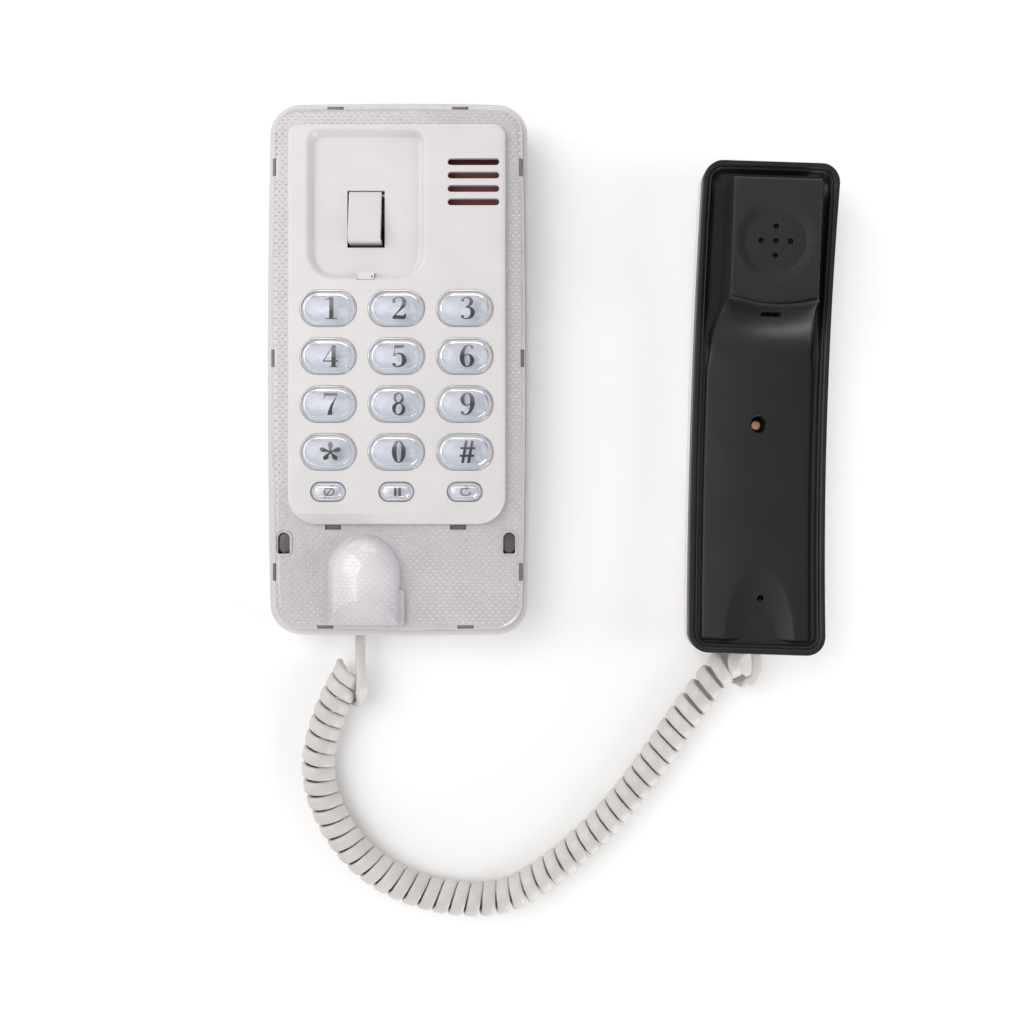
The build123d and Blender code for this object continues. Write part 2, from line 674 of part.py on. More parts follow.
# ---- switch lever, its pin and spring ------------------------------------------------------------------
with BuildPart() as hook_lever:
    with BuildSketch(Plane.YZ.offset(LEVER_X)) as lever_side:
        Polygon(*LEVER_SIDE, align=None)
        fillet(lever_side.vertices().group_by(Axis.X)[0].sort_by(Axis.Y)[-1], LEVER_LIP_EDGE)
        with Locations((LEVER_PIVOT_Y, LEVER_PIVOT_Z)):
            Circle(LEVER_EYE)
            Circle(PIN_RADIUS + PIN_PLAY, mode=Mode.SUBTRACT)
    extrude(amount=LEVER_WIDTH / 2, both=True)
hook_lever.part.label = "hook_lever"
export_step(hook_lever.part, "parts/hook_lever.step")

with BuildPart() as hook_pin:
    with BuildSketch(Plane.YZ.offset(LEVER_X)):
        with Locations((LEVER_PIVOT_Y, LEVER_PIVOT_Z)):
            Circle(PIN_RADIUS)
    extrude(amount=PIN_HALF_LENGTH, both=True)
hook_pin.part.label = "hook_pin"
export_step(hook_pin.part, "parts/hook_pin.step")

with BuildPart() as hook_spring:
    with BuildLine() as spring_wire:
        spring_foot = (LEVER_X, SPRING_Y, LINE_BOARD_TOP + SPRING_FOOT)
        Helix(SPRING_PITCH, SPRING_HEIGHT, SPRING_RADIUS, center=spring_foot)
    with BuildSketch(Plane(origin=spring_wire.line @ 0, z_dir=spring_wire.line % 0)):
        Circle(SPRING_WIRE)
    sweep()
hook_spring.part.label = "hook_spring"
export_step(hook_spring.part, "parts/hook_spring.step")

with BuildPart() as hook_switch:
    with BuildSketch(Plane.XY.offset(LINE_BOARD_TOP)):
        with Locations((LEVER_X, SWITCH_Y)):
            Rectangle(*SWITCH_SIZE[:2])
    extrude(amount=SWITCH_SIZE[2])
    with BuildSketch(Plane.XY.offset(LINE_BOARD_TOP + SWITCH_SIZE[2])):
        with Locations((LEVER_X, SWITCH_Y)):
            Circle(SWITCH_BUTTON[0])
    extrude(amount=SWITCH_BUTTON[1])
hook_switch.part.label = "hook_switch"
export_step(hook_switch.part, "parts/hook_switch.step")


# ---- keys ---------------------------------------------------------------------------------------------
def make_key(name, centre, length, width, crown, edge):
    """One key: a pillow-topped stadium with a flange that holds it under the face plate."""
    with BuildPart() as key:
        with BuildSketch(Plane.XY.offset(FLANGE_LOW)):
            with Locations(centre):
                SlotOverall(length, width)
        extrude(amount=crown - FLANGE_LOW)
        fillet(key.faces().sort_by(Axis.Z)[-1].edges(), edge)
        with BuildSketch(Plane.XY.offset(FLANGE_LOW)):
            with Locations(centre):
                SlotOverall(length + 2 * FLANGE, width + 2 * FLANGE)
        extrude(amount=FLANGE_HIGH - FLANGE_LOW)
    key.part.label = f"key_{name}"
    export_step(key.part, f"parts/key_{name}.step")


for key_name, key_centre in key_centres():
    make_key(key_name, key_centre, KEY_LENGTH, KEY_WIDTH, KEY_CROWN, KEY_EDGE)
for key_name, key_centre in small_key_centres():
    make_key(key_name, key_centre, SMALL_LENGTH, SMALL_WIDTH, SMALL_CROWN, SMALL_EDGE)

with BuildPart() as keypad_membrane:
    with BuildSketch(Plane.XY.offset(SHEET_LOW)):
        with Locations((0, SHEET_Y)):
            RectangleRounded(SHEET_WIDTH, SHEET_LENGTH, SHEET_CORNER)
    extrude(amount=SHEET_TOP - SHEET_LOW)
    with BuildSketch(Plane.XY.offset(SHEET_TOP)):
        with Locations(*key_places):
            Circle(BUTTON)
        with Locations(*small_places):
            Circle(SMALL_BUTTON)
    extrude(amount=FLANGE_LOW - KEY_TRAVEL - FIT - SHEET_TOP, taper=BUTTON_SLOPE)
    with BuildSketch(Plane.XY.offset(SHEET_LOW)):
        with Locations(*keypad_post_places):
            Circle(SHEET_HOLE)
    extrude(amount=SHEET_TOP - SHEET_LOW, mode=Mode.SUBTRACT)
keypad_membrane.part.label = "keypad_membrane"
export_step(keypad_membrane.part, "parts/keypad_membrane.step")

with BuildPart() as keypad_board:
    with BuildSketch(Plane.XY.offset(BOARD_LOW)):
        with Locations((0, SHEET_Y)):
            Rectangle(SHEET_WIDTH, SHEET_LENGTH)
        with Locations(*keypad_post_places):
            Circle(SCREW_PASSAGE, mode=Mode.SUBTRACT)
    extrude(amount=BOARD_THICK)
keypad_board.part.label = "keypad_board"
export_step(keypad_board.part, "parts/keypad_board.step")

with BuildPart() as line_board:
    with BuildSketch(Plane.XY.offset(LINE_BOARD_LOW)):
        with Locations((0, LINE_BOARD_Y)):
            Rectangle(*LINE_BOARD_SIZE)
        with Locations(*board_post_places):
            Circle(SCREW_PASSAGE, mode=Mode.SUBTRACT)
    extrude(amount=BOARD_THICK)
line_board.part.label = "line_board"
export_step(line_board.part, "parts/line_board.step")

with BuildPart() as board_components:
    with BuildSketch(Plane.XY.offset(LINE_BOARD_TOP)):
        with Locations(*RELAYS):
            Rectangle(*RELAY_SIZE[:2])
    extrude(amount=RELAY_SIZE[2])
    with BuildSketch(Plane.XY.offset(LINE_BOARD_TOP)):
        with Locations(*CAPACITORS):
            Circle(CAPACITOR_SIZE[0])
    extrude(amount=CAPACITOR_SIZE[1])
    with BuildSketch(Plane.XY.offset(LINE_BOARD_TOP)):
        with Locations(COIL_AT):
            Rectangle(*COIL_SIZE[:2])
    extrude(amount=COIL_SIZE[2])
board_components.part.label = "board_components"
export_step(board_components.part, "parts/board_components.step")

with BuildPart() as keypad_ribbon:
    with BuildSketch(Plane.XY.offset(LINE_BOARD_TOP)):
        with Locations(RIBBON_AT):
            Rectangle(*RIBBON_SIZE)
    extrude(amount=BOARD_LOW - LINE_BOARD_TOP)
keypad_ribbon.part.label = "keypad_ribbon"
export_step(keypad_ribbon.part, "parts/keypad_ribbon.step")

with BuildPart() as board_screws:
    with BuildSketch(Plane.XY.offset(LINE_BOARD_TOP)):
        with Locations(*board_post_places):
            Circle(BOARD_SCREW_HEAD[0])
    extrude(amount=BOARD_SCREW_HEAD[1])
    with BuildSketch(Plane.XY.offset(LINE_BOARD_TOP)):
        with Locations(*board_post_places):
            Circle(BOARD_SCREW_SHANK[0])
    extrude(amount=-BOARD_SCREW_SHANK[1])
    with BuildSketch(Plane.XY.offset(BOARD_LOW + BOARD_THICK)):
        with Locations(*keypad_post_places):
            Circle(KEYPAD_SCREW_HEAD[0])
    extrude(amount=KEYPAD_SCREW_HEAD[1])
    with BuildSketch(Plane.XY.offset(BOARD_LOW + BOARD_THICK)):
        with Locations(*keypad_post_places):
            Circle(KEYPAD_SCREW_SHANK[0])
    extrude(amount=-KEYPAD_SCREW_SHANK[1])
board_screws.part.label = "board_screws"
export_step(board_screws.part, "parts/board_screws.step")

with BuildPart() as case_screws:
    with BuildSketch(Plane.XY.offset(SCREW_SEAT)):
        with Locations(*case_screw_places):
            Circle(CASE_SCREW_HEAD[0])
    extrude(amount=-CASE_SCREW_HEAD[1])
    with BuildSketch(Plane.XY.offset(SCREW_SEAT)):
        with Locations(*case_screw_places):
            Circle(CASE_SCREW_SHANK[0])
    extrude(amount=CASE_SCREW_SHANK[1])
    with BuildSketch(Plane.XY.offset(SCREW_SEAT - CASE_SCREW_HEAD[1])):
        with Locations(*case_screw_places):
            Rectangle(CASE_SCREW_CROSS[0], CASE_SCREW_CROSS[1])
            Rectangle(CASE_SCREW_CROSS[1], CASE_SCREW_CROSS[0])
    extrude(amount=CASE_SCREW_CROSS[2], mode=Mode.SUBTRACT)
case_screws.part.label = "case_screws"
export_step(case_screws.part, "parts/case_screws.step")

cone_low = SPEAKER_LOW + SPEAKER_MAGNET[1]
with BuildPart() as ringer_speaker:
    with BuildSketch(Plane.XY.offset(SPEAKER_LOW)):
        with Locations((RINGER_X, RINGER_Y)):
            Circle(SPEAKER_MAGNET[0])
    extrude(amount=SPEAKER_MAGNET[1])
    with BuildSketch(Plane.XY.offset(cone_low)):
        with Locations((RINGER_X, RINGER_Y)):
            Circle(SPEAKER_CONE[0])
    extrude(amount=SPEAKER_CONE[1])
    with BuildSketch(Plane.XY.offset(cone_low + SPEAKER_CONE[1])):
        with Locations((RINGER_X, RINGER_Y)):
            Circle(SPEAKER_DISH[0])
    extrude(amount=-SPEAKER_DISH[1], mode=Mode.SUBTRACT)
ringer_speaker.part.label = "ringer_speaker"
export_step(ringer_speaker.part, "parts/ringer_speaker.step")


# ---- jacks ----------------------------------------------------------------------------------------
def socket_plane(x, y, direction):
    """Plane at a jack's mouth, facing the way its plug leaves."""
    return Plane(origin=(x, y, JACK_Z), x_dir=(-direction, 0, 0), z_dir=(0, direction, 0))


cord_jack_wall = BASE_LOW_END + LEDGE_WALL + JACK_CLEARANCE
line_jack_wall = BASE_HIGH_END - LINE_JACK_RECESS
with BuildPart() as handset_jack:
    with BuildSketch(socket_plane(CORD_JACK_X, cord_jack_wall, -1)):
        Rectangle(*CORD_JACK[:2])
    extrude(amount=-CORD_JACK[2])
    with BuildSketch(socket_plane(CORD_JACK_X, cord_jack_wall, -1)):
        Rectangle(*CORD_SOCKET[:2])
    extrude(amount=-CORD_SOCKET[2], mode=Mode.SUBTRACT)
handset_jack.part.label = "handset_jack"
export_step(handset_jack.part, "parts/handset_jack.step")

with BuildPart() as line_jack:
    with BuildSketch(socket_plane(LINE_JACK_X, line_jack_wall, 1)):
        Rectangle(*LINE_JACK[:2])
    extrude(amount=-LINE_JACK[2])
    with BuildSketch(socket_plane(LINE_JACK_X, line_jack_wall, 1)):
        Rectangle(*LINE_SOCKET[:2])
    extrude(amount=-LINE_SOCKET[2], mode=Mode.SUBTRACT)
line_jack.part.label = "line_jack"
export_step(line_jack.part, "parts/line_jack.step")


def make_plug(plane, depth):
    """Clear modular plug with its spring latch, its cable end on the plane."""
    with BuildPart() as plug:
        with BuildSketch(plane):
            Rectangle(PLUG_WIDTH, PLUG_HEIGHT)
        extrude(amount=-depth)
        with BuildSketch(plane.offset(PLUG_LATCH[2] - depth)):
            with Locations((0, -PLUG_LATCH_DROP)):
                Rectangle(*PLUG_LATCH[:2])
        extrude(amount=PLUG_LATCH[2])
    return plug


plug_base_end = make_plug(socket_plane(CORD_JACK_X, BASE_LOW_END - BASE_PLUG_STANDS, -1), BASE_PLUG_LENGTH)
plug_base_end.part.label = "plug_base_end"
export_step(plug_base_end.part, "parts/plug_base_end.step")

# =============================================================================================
# Handset, lying on its back
# =============================================================================================
handset = Plane(
    origin=(HANDSET_X, HANDSET_Y, 0),
    x_dir=(cos(radians(HANDSET_TILT)), -sin(radians(HANDSET_TILT)), 0),
    z_dir=(0, 0, 1),
)
side_view = Plane(origin=handset.origin, x_dir=handset.y_dir, z_dir=handset.x_dir)
half_length = HANDSET_LENGTH / 2
half_width = HANDSET_WIDTH / 2
REACH = half_length + 2


def handset_outline(inset):
    """Plan of the handset drawn in by an inset."""
    corner = HANDSET_CORNER - min(inset, 4)
    return rounded(half_width - inset, inset - half_length, half_length - inset, corner, corner)


def layer(inset, low, high):
    """Curved slab of the handset between two of its long curves."""
    with BuildPart() as slab:
        with BuildSketch(handset):
            add(handset_outline(inset))
        extrude(amount=2 * PAD_TOP)
        with BuildSketch(side_view):
            add(band(low, high, REACH))
        extrude(amount=HANDSET_WIDTH, both=True, mode=Mode.INTERSECT)
    return slab


def end_plane(depth):
    """Plane at the cord exit in the handset's lower end, moved in by a depth."""
    corner = handset.from_local_coords((EXIT_U, depth - half_length, EXIT_Z))
    return Plane(origin=corner, x_dir=handset.x_dir, z_dir=-handset.y_dir)


def face_view(inset, crown, foot):
    """Side view of the raised face: receiver pad, sweep and grip, drawn in by an inset."""
    high = PAD_HIGH - inset
    lip = PAD_LOW + inset
    pad = PAD_TOP - inset
    with BuildSketch() as view:
        with BuildLine():
            Line((high, arc_height(high, PARTING_HEIGHT)), (high, pad))
            Line((high, pad), (lip, pad))
            ThreePointArc(
                (lip, pad),
                (SWEEP_MIDDLE[0] + 0.66 * inset, SWEEP_MIDDLE[1] - 0.75 * inset),
                (SWEEP_END, arc_height(SWEEP_END, crown)),
            )
            middle = (SWEEP_END + foot) / 2
            ThreePointArc(
                (SWEEP_END, arc_height(SWEEP_END, crown)),
                (middle, arc_height(middle, crown)),
                (foot, arc_height(foot, crown)),
            )
            Line((foot, arc_height(foot, crown)), (foot, arc_height(foot, PARTING_HEIGHT)))
            middle = (high + foot) / 2
            ThreePointArc(
                (foot, arc_height(foot, PARTING_HEIGHT)),
                (middle, arc_height(middle, PARTING_HEIGHT)),
                (high, arc_height(high, PARTING_HEIGHT)),
            )
        make_face()
    return view.sketch


def face_plan(inset, foot):
    """Plan of the raised face: the pad, widening to the grip."""
    pad = PAD_WIDTH / 2 - inset
    grip = GRIP_HALF_WIDTH - inset
    with BuildSketch() as plan:
        Polygon(
            (-pad, PAD_HIGH - inset),
            (pad, PAD_HIGH - inset),
            (pad, PAD_LOW),
            (grip, SHOULDER_V),
            (grip, foot),
            (-grip, foot),
            (-grip, SHOULDER_V),
            (-pad, PAD_LOW),
            align=None,
        )
        fillet(plan.vertices(), FACE_CORNER)
    return plan.sketch


shell_cavity = layer(HANDSET_SKIN, HANDSET_SKIN, PARTING_HEIGHT + 1)
with BuildPart() as handset_outer_shell:
    add(layer(0, 0, PARTING_HEIGHT).part)
    fillet(handset_outer_shell.faces().sort_by(Axis.Z)[0].edges(), BACK_EDGE)
    add(shell_cavity.part, mode=Mode.SUBTRACT)
    with BuildSketch(handset.offset(HANDSET_SKIN - 0.5)):
        with Locations((0, SCREW_V)):
            Circle(BACK_POST)
    extrude(amount=POST_TOP - HANDSET_SKIN + 0.5)
    with BuildSketch(handset.offset(HANDSET_SKIN + BACK_PILOT_FLOOR)):
        with Locations((0, SCREW_V)):
            Circle(BACK_PILOT)
    extrude(amount=PARTING_HEIGHT, mode=Mode.SUBTRACT)
    with BuildSketch(end_plane(-1)):
        Rectangle(*EXIT_MOUTH)
    extrude(amount=-EXIT_DEPTH, mode=Mode.SUBTRACT)
handset_outer_shell.part.label = "handset_outer_shell"
export_step(handset_outer_shell.part, "parts/handset_outer_shell.step")

with BuildPart() as raised_face:
    with BuildSketch(handset):
        add(face_plan(0, SCOOP_FOOT + 0.6))
    extrude(amount=2 * PAD_TOP)
    with BuildSketch(side_view):
        add(face_view(0, CROWN_HEIGHT, SCOOP_FOOT))
    extrude(amount=HANDSET_WIDTH, both=True, mode=Mode.INTERSECT)

with BuildPart() as face_hollow:
    with BuildSketch(handset):
        add(face_plan(FACE_SKIN, HOLLOW_FOOT))
    extrude(amount=2 * PAD_TOP)
    with BuildSketch(side_view):
        add(face_view(FACE_SKIN, CROWN_HEIGHT - FACE_SKIN, HOLLOW_FOOT - 1))
    extrude(amount=HANDSET_WIDTH, both=True, mode=Mode.INTERSECT)

scoop_start = Vector(SCOOP_APEX, arc_height(SCOOP_APEX, CROWN_HEIGHT) + SCOOP_CYLINDER)
scoop_end = Vector(SCOOP_FOOT, arc_height(SCOOP_FOOT, CROWN_HEIGHT) + SCOOP_CYLINDER - SCOOP_DEPTH)
scoop_run = scoop_end - scoop_start
scoop_origin = side_view.from_local_coords(scoop_start)
scoop_far = side_view.from_local_coords(scoop_end)

rim_opening = layer(RIM_WIDTH, LEDGE_HEIGHT, RIM_HEIGHT + 4)
with BuildPart() as handset_inner_shell:
    add(layer(0, PARTING_HEIGHT, RIM_HEIGHT).part)
    add(rim_opening.part, mode=Mode.SUBTRACT)
    add(raised_face.part)
    add(face_hollow.part, mode=Mode.SUBTRACT)
    with BuildSketch(handset.offset(BOSS_LOW)):
        with Locations((0, SCREW_V)):
            Circle(BOSS_RADIUS)
    extrude(amount=BOSS_HIGH - BOSS_LOW)
    with BuildSketch(handset.offset(WELL_FLOOR)):
        with Locations((0, SCREW_V)):
            Circle(WELL_RADIUS)
    extrude(amount=2 * PAD_TOP, mode=Mode.SUBTRACT)
    with BuildSketch(handset):
        with Locations((0, SCREW_V)):
            Circle(BOSS_BORE)
        with Locations((0, EARPIECE_V)):
            with PolarLocations(HOLE_PITCH, 4):
                Circle(HOLE_RADIUS)
            Circle(HOLE_RADIUS)
    extrude(amount=2 * PAD_TOP, mode=Mode.SUBTRACT)
    with BuildSketch(handset.offset(PAD_TOP)):
        with Locations((0, EARPIECE_V)):
            Circle(DISH_RADIUS)
    extrude(amount=-DISH_DEPTH, mode=Mode.SUBTRACT)
    with BuildSketch(handset.offset(PAD_TOP)):
        with Locations((0, HANGER_SLOT_V)):
            Rectangle(*HANGER_SLOT[:2])
    extrude(amount=-HANGER_SLOT[2], mode=Mode.SUBTRACT)
    with BuildSketch(Plane(origin=scoop_origin, x_dir=handset.x_dir, z_dir=scoop_far - scoop_origin)):
        Circle(SCOOP_CYLINDER)
    extrude(amount=scoop_run.length, mode=Mode.SUBTRACT)
    with BuildSketch(handset):
        with Locations((0, MIC_V)):
            Circle(HOLE_RADIUS)
    extrude(amount=2 * PAD_TOP, mode=Mode.SUBTRACT)
handset_inner_shell.part.label = "handset_inner_shell"
export_step(handset_inner_shell.part, "parts/handset_inner_shell.step")


def disc(name, v, low, radius, thickness, bore):
    """Round piece inside the handset, centred v along it, with a bore of zero for a solid one."""
    with BuildPart() as piece:
        with BuildSketch(handset.offset(low)):
            with Locations((0, v)):
                Circle(radius)
                if bore:
                    Circle(bore, mode=Mode.SUBTRACT)
        extrude(amount=thickness)
    piece.part.label = name
    export_step(piece.part, f"parts/{name}.step")


pad_inside = PAD_TOP - FACE_SKIN
disc("receiver_capsule", EARPIECE_V, pad_inside - RECEIVER_DEPTH, RECEIVER_RADIUS, RECEIVER_THICK, 0)
disc("receiver_gasket", EARPIECE_V, pad_inside - GASKET_DEPTH, RECEIVER_RADIUS, GASKET_THICK, GASKET_BORE)
disc("mic_capsule", CAPSULE_V, CAPSULE_LOW, *CAPSULE_SIZE, 0)
disc("mic_boot", CAPSULE_V, BOOT_LOW, *BOOT_SIZE, BOOT_BORE)

with BuildPart() as handset_weight:
    with BuildSketch(handset.offset(WEIGHT_LOW)):
        with Locations((0, WEIGHT_V)):
            RectangleRounded(*WEIGHT_SIZE[:2], WEIGHT_CORNER)
    extrude(amount=WEIGHT_SIZE[2])
handset_weight.part.label = "handset_weight"
export_step(handset_weight.part, "parts/handset_weight.step")

with BuildPart() as handset_screw:
    with BuildSketch(handset.offset(WELL_FLOOR)):
        with Locations((0, SCREW_V)):
            Circle(HANDSET_SCREW_HEAD[0])
    extrude(amount=HANDSET_SCREW_HEAD[1])
    fillet(handset_screw.faces().sort_by(Axis.Z)[-1].edges(), HANDSET_SCREW_EDGE)
    with BuildSketch(handset.offset(WELL_FLOOR + HANDSET_SCREW_HEAD[1])):
        with Locations((0, SCREW_V)):
            Rectangle(HANDSET_SCREW_CROSS[0], HANDSET_SCREW_CROSS[1])
            Rectangle(HANDSET_SCREW_CROSS[1], HANDSET_SCREW_CROSS[0])
    extrude(amount=-HANDSET_SCREW_CROSS[2], mode=Mode.SUBTRACT)
    with BuildSketch(handset.offset(WELL_FLOOR)):
        with Locations((0, SCREW_V)):
            Circle(HANDSET_SCREW_SHANK[0])
    extrude(amount=-HANDSET_SCREW_SHANK[1])
handset_screw.part.label = "handset_screw"
export_step(handset_screw.part, "parts/handset_screw.step")

with BuildPart() as handset_cord_jack:
    with BuildSketch(end_plane(INNER_JACK_DEPTH)):
        Rectangle(*INNER_JACK[:2])
    extrude(amount=-INNER_JACK[2])
    with BuildSketch(end_plane(INNER_JACK_DEPTH)):
        Rectangle(*INNER_SOCKET[:2])
    extrude(amount=-INNER_SOCKET[2], mode=Mode.SUBTRACT)
handset_cord_jack.part.label = "handset_cord_jack"
export_step(handset_cord_jack.part, "parts/handset_cord_jack.step")

plug_handset_end = make_plug(end_plane(-INNER_PLUG_STANDS), INNER_PLUG_LENGTH)
plug_handset_end.part.label = "plug_handset_end"
export_step(plug_handset_end.part, "parts/plug_handset_end.step")

# =============================================================================================
# Curly cord: a tail from each plug, and one tube of the coil's outer size between them
# =============================================================================================


def cord_tube(name, points, diameter):
    """Straight runs joined by tangent arcs, swept with a round section."""
    radii = route_radii(points)
    with BuildPart() as tube:
        with BuildLine() as route:
            FilletPolyline(*points, radius=radii)
        with BuildSketch(Plane(origin=route.line @ 0, z_dir=route.line % 0)):
            Circle(diameter / 2)
        sweep()
    tube.part.label = name
    export_step(tube.part, f"parts/{name}.step")
    section = pi * diameter**2 / 4
    print(name, "radii", [round(radius, 1) for radius in radii])
    print(name, "length", round(route.wire().length, 1))
    print(name, "volume over section times length", round(tube.part.volume / section / route.wire().length, 4))


cord_tube("cord_tail_base", BASE_TAIL, CORD_WIDTH)
cord_tube("curly_cord", COIL_ROUTE, COIL_DIAMETER)
cord_tube("cord_tail_handset", HANDSET_TAIL, CORD_WIDTH)
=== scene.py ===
from math import cos, hypot, pi, radians, sin, sqrt

import bpy
from mathutils import Matrix, Vector


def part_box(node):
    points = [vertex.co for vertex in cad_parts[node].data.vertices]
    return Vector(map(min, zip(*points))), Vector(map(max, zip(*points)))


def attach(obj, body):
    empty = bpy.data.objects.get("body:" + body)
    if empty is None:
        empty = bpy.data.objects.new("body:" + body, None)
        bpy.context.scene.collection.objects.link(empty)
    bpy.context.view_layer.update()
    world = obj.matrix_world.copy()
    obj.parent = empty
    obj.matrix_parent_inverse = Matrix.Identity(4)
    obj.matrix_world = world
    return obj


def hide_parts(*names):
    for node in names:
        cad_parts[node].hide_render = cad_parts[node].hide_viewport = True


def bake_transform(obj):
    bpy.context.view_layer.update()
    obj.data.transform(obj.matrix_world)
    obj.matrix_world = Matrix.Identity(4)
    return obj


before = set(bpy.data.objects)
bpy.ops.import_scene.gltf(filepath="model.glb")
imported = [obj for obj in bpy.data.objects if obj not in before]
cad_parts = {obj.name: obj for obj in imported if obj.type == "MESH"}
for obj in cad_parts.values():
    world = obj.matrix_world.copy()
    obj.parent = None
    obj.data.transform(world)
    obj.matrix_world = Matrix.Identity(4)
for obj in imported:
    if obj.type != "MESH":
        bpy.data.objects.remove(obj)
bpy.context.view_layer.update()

MM = 0.001


# ---- smooth steps ----
def clamp(value):
    """The value, held between 0 and 1."""
    return max(0.0, min(1.0, value))


def smooth(value, low, high):
    """0 below low, 1 above high, with a smooth step between."""
    t = clamp((value - low) / (high - low))
    return t * t * (3 - 2 * t)


# ---- camera ----
CAMERA_HEIGHT = 0.420
CAMERA_AT = (0.0435, -0.0542)
VIEW_WIDTH = 0.389
VIEW_LEVEL = 0.025
SENSOR_WIDTH = 36
camera_data = bpy.data.cameras.new("camera")
camera_data.sensor_width = SENSOR_WIDTH
camera_data.lens = SENSOR_WIDTH * (CAMERA_HEIGHT - VIEW_LEVEL) / VIEW_WIDTH
camera = bpy.data.objects.new("camera", camera_data)
camera.location = (CAMERA_AT[0], CAMERA_AT[1], CAMERA_HEIGHT)
bpy.context.scene.collection.objects.link(camera)
bpy.context.scene.camera = camera
bpy.context.scene.view_settings.view_transform = "Standard"


# ---- mesh helpers ----
def new_object(name, points, faces, material, smooth_faces=True):
    """Mesh object made of points in metres and the faces that join them."""
    mesh = bpy.data.meshes.new(name)
    mesh.from_pydata([tuple(p) for p in points], [], faces)
    mesh.validate()
    mesh.update()
    mesh.materials.append(material)
    for polygon in mesh.polygons:
        polygon.use_smooth = smooth_faces
    obj = bpy.data.objects.new(name, mesh)
    bpy.context.scene.collection.objects.link(obj)
    return obj


def skin_rings(rings, closed=False):
    """Points and faces that join rings of equal count, with end caps or as one closed loop."""
    count = len(rings[0])
    points = [p for ring in rings for p in ring]
    faces = []
    last = len(rings) if closed else len(rings) - 1
    for i in range(last):
        a = i * count
        b = ((i + 1) % len(rings)) * count
        for j in range(count):
            k = (j + 1) % count
            faces.append((a + j, a + k, b + k, b + j))
    if not closed:
        start = (len(rings) - 1) * count
        faces.append(tuple(reversed(range(count))))
        faces.append(tuple(range(start, start + count)))
    return points, faces


# ---- material helpers ----
class Shader:
    """A node material with one Principled shader and short calls for its pattern nodes."""

    def __init__(self, name, **settings):
        self.material = bpy.data.materials.new(name)
        self.material.use_nodes = True
        self.tree = self.material.node_tree
        self.bsdf = self.tree.nodes["Principled BSDF"]
        for key, value in settings.items():
            socket = self.bsdf.inputs[key.replace("_", " ")]
            if key == "Base_Color":
                value = (*value, 1.0)
            socket.default_value = value
        self.coordinates = self.node("ShaderNodeTexCoord").outputs["Object"]

    def node(self, kind, **values):
        made = self.tree.nodes.new(kind)
        for key, value in values.items():
            if key in made.inputs:
                made.inputs[key].default_value = value
            else:
                setattr(made, key, value)
        return made

    def link(self, a, b):
        self.tree.links.new(a, b)

    def noise(self, scale, detail=3.0, roughness=0.5, stretch=None):
        made = self.node("ShaderNodeTexNoise", Scale=scale, Detail=detail, Roughness=roughness)
        vector = self.coordinates
        if stretch:
            mapping = self.node("ShaderNodeMapping")
            mapping.inputs["Scale"].default_value = stretch
            self.link(vector, mapping.inputs["Vector"])
            vector = mapping.outputs["Vector"]
        self.link(vector, made.inputs["Vector"])
        return made.outputs["Fac"]

    def ramp(self, source, *stops):
        made = self.node("ShaderNodeValToRGB")
        elements = made.color_ramp.elements
        while len(elements) < len(stops):
            elements.new(0.5)
        for element, (place, colour) in zip(elements, stops):
            element.position = place
            element.color = (*colour, 1.0)
        self.link(source, made.inputs["Fac"])
        return made.outputs["Color"]

    def remap(self, source, low, high):
        made = self.node("ShaderNodeMapRange")
        made.inputs["To Min"].default_value = low
        made.inputs["To Max"].default_value = high
        self.link(source, made.inputs["Value"])
        return made.outputs["Result"]

    def math(self, operation, a, b=None):
        made = self.node("ShaderNodeMath", operation=operation)
        for socket, value in zip(made.inputs, (a, b)):
            if value is None:
                continue
            if isinstance(value, (int, float)):
                socket.default_value = value
            else:
                self.link(value, socket)
        return made.outputs["Value"]

    def bump(self, height, strength, distance, after=None):
        made = self.node("ShaderNodeBump", Strength=strength, Distance=distance)
        self.link(height, made.inputs["Height"])
        if after is not None:
            self.link(after, made.inputs["Normal"])
        self.link(made.outputs["Normal"], self.bsdf.inputs["Normal"])
        return made.outputs["Normal"]

    def colour(self, source):
        self.link(source, self.bsdf.inputs["Base Color"])

    def rough(self, source):
        self.link(source, self.bsdf.inputs["Roughness"])


def moulded(name, colour, dark, roughness, coat=0.0):
    """Moulded plastic: faint cloudy colour, uneven gloss and a very fine skin."""
    made = Shader(name, Roughness=roughness, Coat_Weight=coat, Coat_Roughness=0.12)
    made.colour(made.ramp(made.noise(60, 2), (0.3, dark), (0.75, colour)))
    made.rough(made.remap(made.noise(240, 4), roughness * 0.82, roughness * 1.2))
    made.bump(made.noise(2600, 2), 0.02, 0.0002)
    return made.material


white_plastic = moulded("white_plastic", (0.65, 0.622, 0.628), (0.61, 0.582, 0.590), 0.34, coat=0.25)
dark_red = moulded("speaker_fabric", (0.30, 0.085, 0.075), (0.20, 0.055, 0.05), 0.5)
black_part = moulded("black_part", (0.02, 0.02, 0.021), (0.012, 0.012, 0.013), 0.5)
# Near-black for the capsules under the receiver and microphone holes: painted shade, so that the holes read
# black.
hole_painted_shade = moulded("hole_painted_shade", (0.0022, 0.0020, 0.0022), (0.0012, 0.0012, 0.0012), 0.85)
rubber_grey = moulded("rubber_grey", (0.20, 0.20, 0.21), (0.15, 0.15, 0.16), 0.7)
board_green = moulded("board_green", (0.03, 0.16, 0.06), (0.02, 0.11, 0.04), 0.4, coat=0.4)
grey_film = moulded("grey_film", (0.40, 0.40, 0.42), (0.33, 0.33, 0.35), 0.45)


